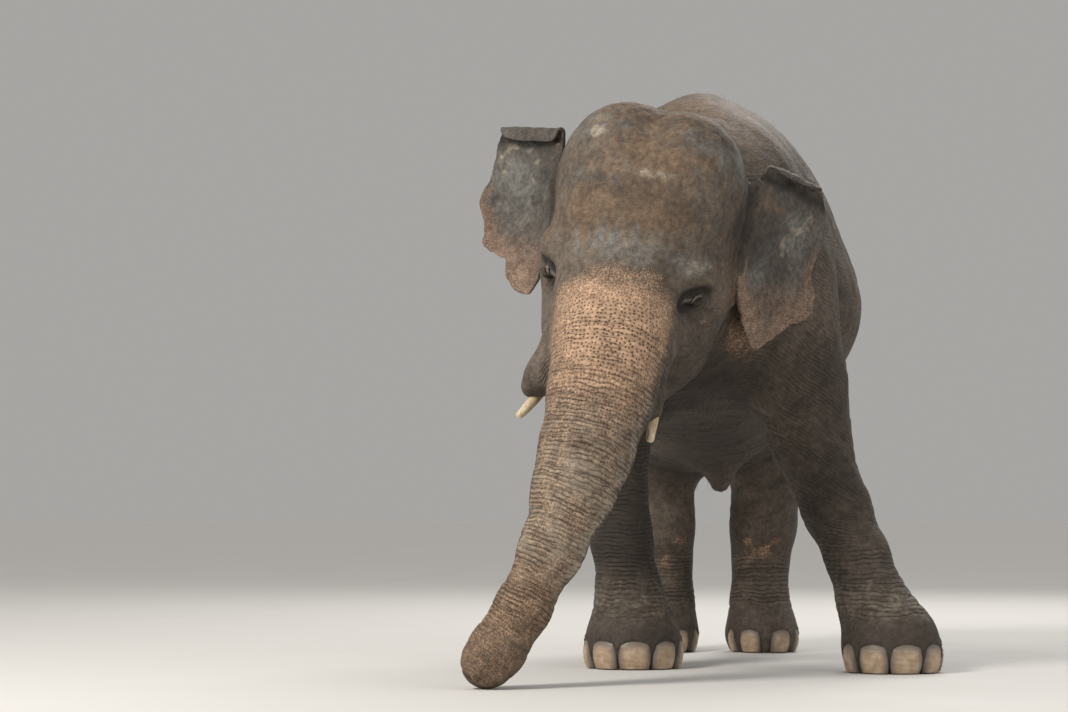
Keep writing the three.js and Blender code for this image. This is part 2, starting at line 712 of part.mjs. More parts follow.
const NAPE = { at: headPoint([0, 430, 0]), forward: headAxis([0, -1, 0]) };
const NECK_BASE = { at: [-100, -220, 1750], forward: [-0.3, -0.9, 0.29] };
const JAW = {
  at: headPoint([0, -190, -468]),
  down: headAxis([0, 0.5, -1]),
  front: headPoint([0, -240, 0]),
  back: headAxis([0, 1, 0]),
};

function trunkStation(t) {
  const i = Math.min(Math.floor(t), TRUNK_LINE.length - 2);
  const from = new THREE.Vector3(...TRUNK_LINE[i]);
  const to = new THREE.Vector3(...TRUNK_LINE[i + 1]);
  return { at: from.clone().lerp(to, t - i).toArray(), onward: to.sub(from).normalize().toArray() };
}

const trunkCuts = TRUNK_CUTS.map(trunkStation);
const TRUNK_SPACE = { low: [-1400, -1900, -400], high: [0, -780, 1400] };

// A leg starts under a plane that rises outwards, with the brisket or belly just above it.
const LEG_CUTS = {
  foreleg_left: {
    at: [300, 0, 1120], up: [-0.45, 0.4, 1], low: [-40, -660, -200], high: [1100, 560, 1600],
  },
  foreleg_right: {
    at: [-410, 40, 1120], up: [0.45, 0.4, 1], low: [-900, -380, -200], high: [-120, 560, 1500],
  },
  hindleg_left: {
    at: [300, 1400, 900], up: [-0.7, 0, 1], low: [32, 992, -200], high: [1100, 2200, 1600],
  },
  hindleg_right: {
    at: [-242, 1400, 900], up: [0.7, 0, 1], low: [-1100, 992, -200], high: [26, 2200, 1600],
  },
};
const FOOT_TOP = { fore: 330, hind: 300 };

function legSpace(name, gap = 0) {
  const { at, up, low, high } = LEG_CUTS[name];
  return block(low.map((value) => value - gap), high.map((value) => value + gap))
    .intersect(beyond(at, opposite(up), -gap));
}

const legNames = Object.keys(LEG_CUTS);

const flesh = (low, high, cell, field = body) => solid(surfaceOf(field, low, high, cell));

elephant.updateMatrixWorld(true);
const seatOf = (name) => {
  const mesh = elephant.getObjectByName(name);
  return solid(swollen(shaped(mesh.geometry, mesh.matrixWorld), GAP));
};

addPiece('tail', geometryOf(solid(tailGeometry).subtract(seatOf('tail_tuft'))), SKIN);

function without(piece, cutters) {
  return cutters.reduce((rest, cutter) => rest.subtract(cutter), piece);
}

// Torso
const torsoSolid = without(
  flesh([-900, -700, 540], [900, 2080, 2760], CELL.torso)
    .intersect(beyond(NECK_BASE.at, opposite(NECK_BASE.forward), GAP / 2)),
  [...legNames.map((name) => legSpace(name, GAP)), seatOf('ear_left'), seatOf('tail')],
);

// Neck
const neckSolid = without(
  flesh([-950, -1000, 950], [620, 420, 2620], CELL.neck)
    .intersect(beyond(NECK_BASE.at, NECK_BASE.forward, GAP / 2))
    .intersect(beyond(NAPE.at, opposite(NAPE.forward), GAP / 2)),
  [...legNames.slice(0, 2).map((name) => legSpace(name, GAP)), seatOf('ear_left'), seatOf('ear_right')],
);

// Lower jaw, with the lip at its tip
const beforeNeck = beyond(NAPE.at, NAPE.forward, GAP / 2)
  .intersect(beyond(NECK_BASE.at, NECK_BASE.forward, GAP / 2));
const jawSpace = (gap) => beyond(JAW.at, JAW.down, -gap)
  .intersect(beyond(JAW.front, JAW.back, -gap));
const seatsOf = (...kinds) => kinds.flatMap((kind) => (
  Object.keys(SIDES).map((side) => seatOf(`${kind}_${side}`))
));
const jawSolid = without(
  flesh([-1150, -1300, 760], [360, 150, 1700], CELL.jaw)
    .intersect(beforeNeck)
    .intersect(jawSpace(0)),
  seatsOf('tusk'),
);

// Head, with the seats of the pieces set into it
const trunkSpace = (gap) => block(TRUNK_SPACE.low, TRUNK_SPACE.high)
  .intersect(beyond(trunkCuts[0].at, trunkCuts[0].onward, -gap));
const headSolid = without(
  flesh([-1155, -1550, 770], [360, 150, 2480], CELL.head)
    .intersect(beforeNeck),
  [trunkSpace(GAP), jawSpace(GAP), ...seatsOf('eye', 'tusk', 'ear')],
);

// Trunk in three lengths
const trunkOnly = flesh([-1260, -1760, -200], [-200, -900, 1420], CELL.trunk, head)
  .intersect(trunkSpace(0))
  .intersect(aboveFloor());
const trunkSolids = {
  trunk_upper: trunkOnly.intersect(beyond(trunkCuts[1].at, opposite(trunkCuts[1].onward), GAP / 2)),
  trunk_middle: trunkOnly.intersect(beyond(trunkCuts[1].at, trunkCuts[1].onward, GAP / 2))
    .intersect(beyond(trunkCuts[2].at, opposite(trunkCuts[2].onward), GAP / 2)),
  trunk_lower: trunkOnly.intersect(beyond(trunkCuts[2].at, trunkCuts[2].onward, GAP / 2)),
};

addPiece('torso', geometryOf(torsoSolid), SKIN);
addPiece('neck', geometryOf(neckSolid), SKIN);
addPiece('head', geometryOf(headSolid), FACE);
addPiece('lower_jaw', geometryOf(jawSolid), FACE);
for (const [name, piece] of Object.entries(trunkSolids)) {
  addPiece(name, geometryOf(piece), FACE);
}

// Legs and feet
for (const name of legNames) {
  const { low, high } = LEG_CUTS[name];
  const top = name.startsWith('fore') ? FOOT_TOP.fore : FOOT_TOP.hind;
  const foot = name.replace('leg', 'foot');
  const column = flesh([low[0], low[1], top - 260], high, CELL.leg).intersect(legSpace(name));
  addPiece(name, geometryOf(column.intersect(beyond([0, 0, top], [0, 0, 1], GAP / 2))), SKIN);
  const seats = NAILS[FEET[foot].limb].bearings.map((_, n) => seatOf(`nail_${foot}_${n + 1}`));
  const sole = flesh(low, [high[0], high[1], top + 260], CELL.foot)
    .intersect(beyond([0, 0, top], [0, 0, -1], GAP / 2))
    .intersect(aboveFloor());
  addPiece(foot, geometryOf(without(sole, seats)), SKIN);
}

// The origin is on the floor, under the middle of the whole animal's box.
elephant.updateMatrixWorld(true);
const wholeBox = new THREE.Box3().setFromObject(elephant, true);
const middle = wholeBox.getCenter(new THREE.Vector3());
elephant.position.set(-middle.x, -middle.y, -wholeBox.min.z);

export default elephant;
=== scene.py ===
"""Skin, ears, eyes, tusks, nails, tail hair and stage for a life-size still model of an Asian elephant."""

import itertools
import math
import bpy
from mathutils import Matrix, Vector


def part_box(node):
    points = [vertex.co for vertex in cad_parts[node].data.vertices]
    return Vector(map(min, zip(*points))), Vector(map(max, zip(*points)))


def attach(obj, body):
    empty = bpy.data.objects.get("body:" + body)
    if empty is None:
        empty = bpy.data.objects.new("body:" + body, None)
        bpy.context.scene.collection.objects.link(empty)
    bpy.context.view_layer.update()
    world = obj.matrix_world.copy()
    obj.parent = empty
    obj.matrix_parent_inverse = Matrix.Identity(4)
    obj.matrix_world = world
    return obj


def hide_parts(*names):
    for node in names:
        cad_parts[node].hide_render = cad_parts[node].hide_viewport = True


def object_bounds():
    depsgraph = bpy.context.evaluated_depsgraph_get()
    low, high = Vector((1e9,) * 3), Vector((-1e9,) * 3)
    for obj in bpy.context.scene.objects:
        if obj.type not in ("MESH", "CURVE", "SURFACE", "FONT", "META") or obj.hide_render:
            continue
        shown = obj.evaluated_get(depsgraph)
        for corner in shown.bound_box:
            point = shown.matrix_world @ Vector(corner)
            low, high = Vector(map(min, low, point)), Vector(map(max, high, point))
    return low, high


bl_info = {
    "name": "Asian Elephant Model",
    "version": (1, 0, 0),
    "blender": (4, 5, 0),
    "location": "3D View > Sidebar > Elephant",
    "description": "Builds the hide, ears, eyes, tusks, nails, tail hair and stage of a life-size elephant",
    "category": "Object",
}

import bmesh
import bpy
import numpy as np
from bpy.props import FloatProperty, FloatVectorProperty, IntProperty, PointerProperty
from mathutils import Euler, Matrix, Vector

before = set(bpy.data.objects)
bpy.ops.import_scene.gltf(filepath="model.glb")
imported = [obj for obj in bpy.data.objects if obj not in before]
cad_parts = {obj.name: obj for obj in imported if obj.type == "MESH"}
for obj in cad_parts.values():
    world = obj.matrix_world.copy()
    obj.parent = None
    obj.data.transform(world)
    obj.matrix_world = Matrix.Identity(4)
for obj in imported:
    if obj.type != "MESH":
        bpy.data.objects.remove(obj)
CAD_BOX = [tuple(corner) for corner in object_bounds()]

# ---------------------------------------------------------------- the body as a distance field

# Stations of each limb: x, y, z and radius in metres, in the animal's own frame.
TRUNK_LINE = [
    (-0.474, -0.835, 1.540, 0.222),
    (-0.510, -0.955, 1.310, 0.222),
    (-0.550, -1.055, 1.118, 0.200),
    (-0.608, -1.150, 0.901, 0.176),
    (-0.660, -1.220, 0.744, 0.151),
    (-0.742, -1.310, 0.524, 0.116),
    (-0.855, -1.390, 0.296, 0.099),
    (-0.947, -1.440, 0.150, 0.100),
    (-0.990, -1.465, 0.096, 0.099),
]
FORELEG_LEFT = [
    (0.212, -0.030, 1.640, 0.262),
    (0.318, -0.020, 1.210, 0.200),
    (0.366, 0.000, 0.961, 0.165),
    (0.467, -0.095, 0.672, 0.139),
    (0.546, -0.170, 0.472, 0.128),
    (0.597, -0.245, 0.294, 0.140),
    (0.655, -0.310, 0.150, 0.175),
]
FORELEG_RIGHT = [
    (-0.345, 0.020, 1.640, 0.270),
    (-0.452, 0.050, 1.210, 0.195),
    (-0.478, 0.060, 0.965, 0.156),
    (-0.440, 0.030, 0.560, 0.126),
    (-0.405, 0.005, 0.300, 0.137),
    (-0.391, -0.008, 0.150, 0.172),
]
HINDLEG = [
    (0.262, 1.350, 1.480, 0.290),
    (0.292, 1.240, 0.930, 0.175),
    (0.272, 1.340, 0.600, 0.138),
    (0.256, 1.415, 0.390, 0.122),
    (0.252, 1.420, 0.240, 0.130),
]
HAUNCH = [
    (0.230, 1.560, 1.380, 0.240),
    (0.262, 1.500, 0.900, 0.150),
    (0.258, 1.465, 0.560, 0.112),
]
HIP_MIDLINE = 0.029
FEET = {
    "forefoot_left": (0.668, -0.332, 0.095, 0.205),
    "forefoot_right": (-0.390, -0.014, 0.095, 0.205),
    "hindfoot_left": (0.265, 1.412, 0.085, 0.158),
    "hindfoot_right": (-0.207, 1.412, 0.085, 0.158),
}
HINDFOOT_HALF_LENGTH = 0.040
NECK = [
    [(-0.060, 0.090, 1.935, 0.395), (-0.265, -0.330, 1.950, 0.320)],
    [(-0.090, 0.000, 1.660, 0.395), (-0.300, -0.400, 1.570, 0.300)],
]
GROIN_FOLD = [(0.029, 0.860, 0.960, 0.105), (0.036, 0.905, 0.790, 0.048)]
TAIL_LINE = [
    (0.034, 1.650, 1.960, 0.062),
    (0.038, 1.790, 1.905, 0.051),
    (0.042, 1.900, 1.770, 0.042),
    (0.042, 1.962, 1.520, 0.031),
    (0.032, 1.988, 1.260, 0.022),
    (0.018, 1.998, 1.040, 0.015),
]

# Profile of the torso: y, top, bottom, half width and sideways sway.
TORSO = np.array([
    (-0.360, 2.080, 1.250, 0.330, -0.095),
    (0.000, 2.370, 1.110, 0.430, -0.090),
    (0.380, 2.495, 0.990, 0.550, -0.075),
    (0.780, 2.540, 0.880, 0.645, -0.050),
    (1.150, 2.480, 0.865, 0.665, -0.015),
    (1.480, 2.310, 0.960, 0.570, 0.020),
    (1.820, 2.060, 1.150, 0.400, 0.040),
])
CHEST_END = (-0.160, -0.400)
RUMP_END = (1.420, 1.830)
UPPER_BOW, LOWER_BOW = 1.85, 2.1
FLANK_CENTRE, FLANK_HALF, FLANK_SWAY = (0.370, 0.950, 1.580), (0.330, 0.520, 0.330), -0.020

# Masses of the head, in the head's own frame: centre, half sizes, on both sides or not, blend.
HEAD_PLACE = (-0.457, -0.775, 1.565)
HEAD_TURN = (8.0, 12.0, -14.0)
HEAD_MASSES = {
    "cranium": ((0, 0.270, 0.300), (0.395, 0.340, 0.400), False, 0.001),
    "domes": ((0.135, 0.190, 0.430), (0.240, 0.275, 0.290), True, 0.090),
    "forehead": ((0, 0.110, 0.240), (0.340, 0.320, 0.330), False, 0.090),
    "nose": ((0, -0.030, -0.060), (0.265, 0.215, 0.290), False, 0.110),
    "cheek": ((0.205, 0.160, -0.150), (0.140, 0.200, 0.210), True, 0.090),
    "zygoma": ((0.275, 0.200, 0.040), (0.118, 0.190, 0.200), True, 0.090),
    "brow": ((0.255, 0.060, 0.110), (0.120, 0.150, 0.100), True, 0.060),
}
BROW_DIP = ((0, -0.345, 0.230), (0.190, 0.100, 0.130))
EYE_MOUND = ((0.262, 0.022, 0), (0.070, 0.074, 0.066))
MANDIBLE = [(0.205, 0.230, -0.250, 0.130), (0.115, 0.080, -0.420, 0.105)]
TUSK_SHEATH = [(0.130, -0.060, -0.180, 0.130), (0.205, -0.190, -0.385, 0.070), (0.245, -0.200, -0.442, 0.046)]
LIP = [(0, 0.090, -0.430, 0.120), (0, -0.090, -0.545, 0.078), (0, -0.185, -0.610, 0.042)]
EYE_SEAT = (0.306, -0.008, 0.0)

# Each ear: seat in the head's frame, swing from straight out, height where the top rolls over,
# radius of the roll, how far the rolled skin reaches, and how steeply the roll drops outwards.
EAR_SEATS = {
    "left": ((0.400, 0.320, 0.190), 61.0, 0.345, 0.018, 0.064, 14.0),
    "right": ((-0.410, 0.310, 0.225), 40.0, 0.304, 0.014, 0.096, 9.0),
}
EAR_RIMS = {
    "left": [
        (0.000, 0.240), (0.085, 0.410), (0.200, 0.425), (0.310, 0.375), (0.392, 0.290), (0.428, 0.180), (0.446, 0.075),
        (0.422, -0.045), (0.424, -0.136), (0.412, -0.232), (0.342, -0.282), (0.275, -0.334), (0.186, -0.392),
        (0.110, -0.366), (0.020, -0.246), (-0.030, -0.140), (-0.030, -0.010),
    ],
    "right": [
        (0.000, 0.240), (0.060, 0.415), (0.200, 0.415), (0.330, 0.380), (0.405, 0.290), (0.434, 0.140), (0.452, 0.040),
        (0.464, -0.045), (0.434, -0.115), (0.424, -0.175), (0.430, -0.230), (0.325, -0.266), (0.268, -0.268),
        (0.240, -0.318), (0.180, -0.364), (0.110, -0.380), (0.050, -0.345), (-0.030, -0.200), (-0.030, -0.010),
    ],
}
EAR_MIDDLE = (0.190, 0.020)

# The ridge that an ear grows from, below its top station: outwards, upwards and radius.
EAR_ROOT = ((0.006, 0.100, 0.034), (-0.020, -0.060, 0.024), (-0.010, -0.180, 0.012))

SIDES = {"left": 1, "right": -1}

# The swelling at each elbow: how far behind and above the leg's third station, and its radius.
ELBOW_BACK, ELBOW_UP, ELBOW_RADIUS = 0.090, 0.105, 0.132

# The opening between the lids: half its length, its height above and below, and how square its outline is.
LID_HALF_LENGTH, LID_HALF_UPPER, LID_HALF_LOWER, LID_CURVE = 0.0300, 0.0145, 0.0105, 1.8

HEAD_AXES = np.array(Euler([math.radians(a) for a in HEAD_TURN], "XYZ").to_matrix())


def to_head(p):
    return (p - np.array(HEAD_PLACE)) @ HEAD_AXES


def from_head(p):
    return np.asarray(p) @ HEAD_AXES.T + np.array(HEAD_PLACE)


# The CAD frame stands on the middle of the whole box; the field above is in the animal's own frame.
SHIFT = sum(np.array(corner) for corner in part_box("eye_left")) / 2 - from_head(EYE_SEAT)


def smooth_union(a, b, blend):
    overlap = np.maximum(blend - np.abs(a - b), 0) / blend
    return np.minimum(a, b) - overlap * overlap * blend * 0.25


def smooth_cut(a, b, blend):
    return -smooth_union(-a, b, blend)


def tapered(p, start, end):
    """Distance to a cone with a ball at each end."""
    low, low_radius = np.array(start[:3]), start[3]
    high, high_radius = np.array(end[:3]), end[3]
    axis = high - low
    length_sq = axis @ axis
    taper = low_radius - high_radius
    slant_sq = length_sq - taper * taper
    q = p - low
    along = q @ axis
    past = along - length_sq
    off_sq = ((q * length_sq - np.outer(along, axis)) ** 2).sum(1)
    side = np.sign(taper) * taper * taper * off_sq
    d = (np.sqrt(off_sq * slant_sq / length_sq) + along * taper) / length_sq - low_radius
    before = np.sign(along) * slant_sq * along * along * length_sq < side
    d = np.where(before, np.sqrt(off_sq + along * along * length_sq) / length_sq - low_radius, d)
    after = np.sign(past) * slant_sq * past * past * length_sq > side
    return np.where(after, np.sqrt(off_sq + past * past * length_sq) / length_sq - high_radius, d)


def limb(p, stations, blend=0.060):
    d = tapered(p, stations[0], stations[1])
    for start, end in zip(stations[1:-1], stations[2:]):
        d = smooth_union(d, tapered(p, start, end), blend)
    return d


def mass(p, centre, half):
    q = (p - np.array(centre)) / np.array(half)
    reach = np.linalg.norm(q, axis=1)
    slope = np.linalg.norm(q / np.array(half), axis=1)
    return reach * (reach - 1) / np.maximum(slope, 1e-6)


def through(at, keys, values):
    """A smooth curve through values at keys, read off at each place."""
    slopes = np.empty(len(keys))
    slopes[1:-1] = (values[2:] - values[:-2]) / (keys[2:] - keys[:-2])
    slopes[0] = (values[1] - values[0]) / (keys[1] - keys[0])
    slopes[-1] = (values[-1] - values[-2]) / (keys[-1] - keys[-2])
    at = np.clip(at, keys[0], keys[-1])
    i = np.clip(np.searchsorted(keys, at, side="right") - 1, 0, len(keys) - 2)
    span = keys[i + 1] - keys[i]
    t = (at - keys[i]) / span
    rise = t * t * (3 - 2 * t)
    lead, trail = t * (1 - t) ** 2 * span, t * t * (t - 1) * span
    return values[i] * (1 - rise) + values[i + 1] * rise + slopes[i] * lead + slopes[i + 1] * trail


def profile(y, column):
    return through(y, TORSO[:, 0], TORSO[:, column])


def into_end(y, ends):
    return np.maximum((y - ends[0]) / (ends[1] - ends[0]), 0)


def torso_reach(p):
    """How far out of the torso a point lies, from 0 on its middle line to 1 on the skin."""
    x, y, z = p.T
    top, bottom = profile(y, 1), profile(y, 2)
    across = np.abs(x - profile(y, 4)) / profile(y, 3)
    up = (z - (top + bottom) / 2) / ((top - bottom) / 2)
    bow = np.where(up > 0, UPPER_BOW, LOWER_BOW)
    section = (across**bow + np.abs(up) ** bow) ** (1 / bow)
    return np.sqrt(section**2 + into_end(y, CHEST_END) ** 2 + into_end(y, RUMP_END) ** 2)


def torso(p):
    step = 0.004
    reach = torso_reach(p)
    slope = np.sqrt(sum((torso_reach(p + np.eye(3)[a] * step) - reach) ** 2 for a in range(3))) / step
    return (reach - 1) / np.maximum(slope, 0.1)


def mirrored(stations):
    return [(2 * HIP_MIDLINE - x, y, z, r) for x, y, z, r in stations]


def both_sides(p):
    return np.stack([np.abs(p[:, 0]), p[:, 1], p[:, 2]], 1)


def trunk_field(p):
    return limb(p, TRUNK_LINE, 0.070)


def tail_field(p):
    return limb(p, TAIL_LINE, 0.030)


def ear_root(side):
    """Stations of the low ridge of flesh that an ear grows from, in the head's frame."""
    (x, y, z), swing, fold = EAR_SEATS[side][:3]
    turn = math.radians(swing)
    stations = []
    for out, up, radius in ((0.034, fold - 0.050, 0.026), *EAR_ROOT):
        reach = abs(x) + math.cos(turn) * out
        stations.append((SIDES[side] * reach, y + math.sin(turn) * out, z + up, radius))
    return stations


def ear_ridges(h):
    """For each ear: distance to the ridge it grows from, how far back it sits, and the points on its side."""
    for side, ((_, back, _), *_) in EAR_SEATS.items():
        yield limb(h, ear_root(side), 0.030), back, h[:, 0] * SIDES[side] > 0


def skull_field(h):
    """Head above the mouth line without the trunk."""
    both = both_sides(h)
    d = None
    for centre, half, paired, blend in HEAD_MASSES.values():
        part = mass(both if paired else h, centre, half)
        d = part if d is None else smooth_union(d, part, blend)
    d = smooth_cut(d, mass(h, *BROW_DIP), 0.120)
    return smooth_union(d, mass(both, *EYE_MOUND), 0.040)


def upper_head_field(p, h):
    d = smooth_union(skull_field(h), trunk_field(p), 0.090)
    return smooth_union(d, limb(both_sides(h), TUSK_SHEATH), 0.060)


def head_field(p):
    h = to_head(p)
    both = both_sides(h)
    d = smooth_union(skull_field(h), limb(both, MANDIBLE), 0.080)
    d = smooth_union(d, trunk_field(p), 0.090)
    d = smooth_union(d, limb(both, TUSK_SHEATH), 0.060)
    d = smooth_union(d, limb(h, LIP), 0.050)
    for ridge, _, _ in ear_ridges(h):
        d = smooth_union(d, ridge, 0.060)
    return d


def elbow(stations):
    x, y, z, _ = stations[2]
    return x, y + ELBOW_BACK, z + ELBOW_UP


def foreleg_field(p, stations, foot):
    bump = np.linalg.norm(p - np.array(elbow(stations)), axis=1) - ELBOW_RADIUS
    return smooth_union(limb(p, [*stations, foot]), bump, 0.130)


def hindfoot_balls(foot):
    x, y, z, radius = foot
    return [(x, y + shift, z, radius) for shift in (HINDFOOT_HALF_LENGTH, -HINDFOOT_HALF_LENGTH)]


def hindleg_field(p, stations, haunch, foot):
    return smooth_union(limb(p, [*stations, *hindfoot_balls(foot)]), limb(p, haunch), 0.140)


def leg_fields(p):
    return {
        "foreleg_left": foreleg_field(p, FORELEG_LEFT, FEET["forefoot_left"]),
        "foreleg_right": foreleg_field(p, FORELEG_RIGHT, FEET["forefoot_right"]),
        "hindleg_left": hindleg_field(p, HINDLEG, HAUNCH, FEET["hindfoot_left"]),
        "hindleg_right": hindleg_field(p, mirrored(HINDLEG), mirrored(HAUNCH), FEET["hindfoot_right"]),
    }


def barrel_field(p):
    swayed = both_sides(p - np.array([FLANK_SWAY, 0, 0]))
    d = smooth_union(torso(p), mass(swayed, FLANK_CENTRE, FLANK_HALF), 0.120)
    return smooth_union(d, smooth_union(limb(p, NECK[0]), limb(p, NECK[1]), 0.160), 0.170)


def skin_field(p, depth):
    """Distance from each point to the hide, negative inside; the sole of each foot is a flat at the floor."""
    d = barrel_field(p)
    for leg in leg_fields(p).values():
        d = smooth_union(d, leg, 0.180)
    d = smooth_union(d, limb(p, GROIN_FOLD), 0.110)
    d = smooth_union(d, head_field(p), 0.120)
    d = smooth_union(d, tail_field(p), 0.060) + depth
    return np.maximum(d, -p[:, 2])


# ---------------------------------------------------------------- small tools for shaping


def fade(value, start, end):
    """0 at start and 1 at end, with a soft run between; start may be above end."""
    t = np.clip((value - start) / (end - start), 0, 1)
    return t * t * (3 - 2 * t)


def blot(p, centre, radii):
    """A soft round patch, 1 in the middle and 0 from about twice the radii on."""
    q = (p - np.array(centre)) / np.array(radii)
    return np.exp(-1.2 * (q * q).sum(1))


# Large primes that mix a cell's place and a seed into a number that looks random.
CELL_PRIMES, SEED_PRIME = np.array([73856093, 19349663, 83492791]), 7919
STIR_PRIMES, LARGEST_KEY = ((13, 1274126177), (15, 668265263)), 2147483647


def cloud(p, size, seed=0):
    """Smooth noise from -1 to 1 with lumps about size metres across."""
    q = p / size + 0.37 * seed
    cell = np.floor(q)
    t = q - cell
    t = t * t * (3 - 2 * t)
    cell = cell.astype(np.int64)
    total = np.zeros(len(p))
    for corner in itertools.product((0, 1), repeat=3):
        key = (cell + np.array(corner)) @ CELL_PRIMES + seed * SEED_PRIME
        for shift, prime in STIR_PRIMES:
            key = (key ^ (key >> shift)) * prime % LARGEST_KEY
        total += (key / (LARGEST_KEY / 2) - 1) * np.prod(np.where(corner, t, 1 - t), axis=1)
    return total


def furrow(value, width):
    """1 on the line where value is 0, falling off within width."""
    return np.exp(-((value / width) ** 2))


def ring_lines(phase, sharpness=0.55):
    """Rounded folds with sharp valleys between: 1 in each valley, 0 on the crest."""
    return 1 - np.abs(np.sin(math.pi * phase)) ** sharpness


# Steps along the trunk's middle line, and how many points are compared with them at a time.
TRUNK_STEPS, BATCH = 240, 20000


def trunk_samples():
    stations = np.array(TRUNK_LINE)
    runs = np.concatenate([[0], np.cumsum(np.linalg.norm(np.diff(stations[:, :3], axis=0), axis=1))])
    at = np.linspace(0, runs[-1], TRUNK_STEPS)
    line = np.stack([through(at, runs, stations[:, a]) for a in range(3)], 1)
    tangents = np.gradient(line, axis=0)
    tangents /= np.linalg.norm(tangents, axis=1, keepdims=True)
    return at, line, tangents


def along_trunk(p):
    """Run down the trunk's middle line and the angle round it, 0 at the front and positive to the animal's left."""
    at, line, tangents = trunk_samples()
    near = np.empty(len(p), int)
    for start in range(0, len(p), BATCH):
        part = p[start : start + BATCH]
        near[start : start + BATCH] = ((part[:, None, :] - line[None]) ** 2).sum(2).argmin(1)
    q = p - line[near]
    tangent = tangents[near]
    step = (q * tangent).sum(1)
    inner = (near > 0) & (near < TRUNK_STEPS - 1)
    run = at[near] + np.where(inner, np.clip(step, -0.02, 0.02), step)
    front = np.array([0.0, -1.0, 0.0]) - tangent * (-tangent[:, 1:2])
    front /= np.linalg.norm(front, axis=1, keepdims=True)
    left = np.cross(tangent, front)
    angle = np.arctan2((q * left).sum(1), (q * front).sum(1))
    return run, angle


def read(items, name, width=3, kind=np.float32):
    flat = np.empty(len(items) * width, kind)
    items.foreach_get(name, flat)
    return flat.reshape(-1, width)


def points_of(mesh):
    return read(mesh.vertices, "co").astype(float)


def normals_of(mesh):
    return read(mesh.vertex_normals, "vector").astype(float)


def move_points(mesh, p):
    mesh.vertices.foreach_set("co", p.astype(np.float32).ravel())
    mesh.update()


def evened(p, normals, edges, amount):
    """Slides points along the surface towards the middle of their neighbours."""
    start, end = edges.T
    sums = [np.bincount(start, p[end, a], len(p)) + np.bincount(end, p[start, a], len(p)) for a in range(3)]
    count = np.bincount(edges.ravel(), minlength=len(p))[:, None]
    pull = np.stack(sums, 1) / np.maximum(count, 1) - p
    pull -= normals * (pull * normals).sum(1, keepdims=True)
    return p + pull * amount


def store(mesh, name, *values):
    """Keeps one number on each point of a mesh, or three as a vector."""
    kind, item = ("FLOAT", "value") if len(values) == 1 else ("FLOAT_VECTOR", "vector")
    layer = mesh.attributes.new(name, kind, "POINT")
    layer.data.foreach_set(item, np.stack(values, 1).astype(np.float32).ravel())


def face_outwards(shape):
    """Turns the faces of every closed part of a mesh outwards."""
    bmesh.ops.recalc_face_normals(shape, faces=shape.faces[:])
    left = set(shape.faces)
    while left:
        seed = next(iter(left))
        part, rim = {seed}, [seed]
        while rim:
            rim = [other for face in rim for edge in face.edges for other in edge.link_faces if other not in part]
            rim = list(dict.fromkeys(rim))
            part.update(rim)
        left -= part
        middle = seed.verts[0].co.copy()
        volume = 0.0
        for face in part:
            corners = [vert.co - middle for vert in face.verts]
            volume += sum(corners[0].dot(a.cross(b)) for a, b in zip(corners[1:-1], corners[2:]))
        if volume < 0:
            bmesh.ops.reverse_faces(shape, faces=list(part))


def add_piece(name, mesh, material=None, smooth=True):
    if isinstance(mesh, bmesh.types.BMesh):
        data = bpy.data.meshes.new(name)
        mesh.to_mesh(data)
        mesh.free()
        mesh = data
    mesh.name = name
    piece = bpy.data.objects.new(name, mesh)
    bpy.context.collection.objects.link(piece)
    if smooth:
        mesh.shade_smooth()
    if material:
        mesh.materials.clear()
        mesh.materials.append(material)
    return piece


# ---------------------------------------------------------------- materials


class Wire:
    """A value in a shader; arithmetic on it puts Math nodes on the board."""

    def __init__(self, board, socket):
        self.board, self.socket = board, socket

    def __add__(self, other):
        return self.board.math("ADD", self, other)

    def __sub__(self, other):
        return self.board.math("SUBTRACT", self, other)

    def __rsub__(self, other):
        return self.board.math("SUBTRACT", other, self)

    def __mul__(self, other):
        return self.board.math("MULTIPLY", self, other)

    def __truediv__(self, other):
        return self.board.math("DIVIDE", self, other)

    def __rtruediv__(self, other):
        return self.board.math("DIVIDE", other, self)


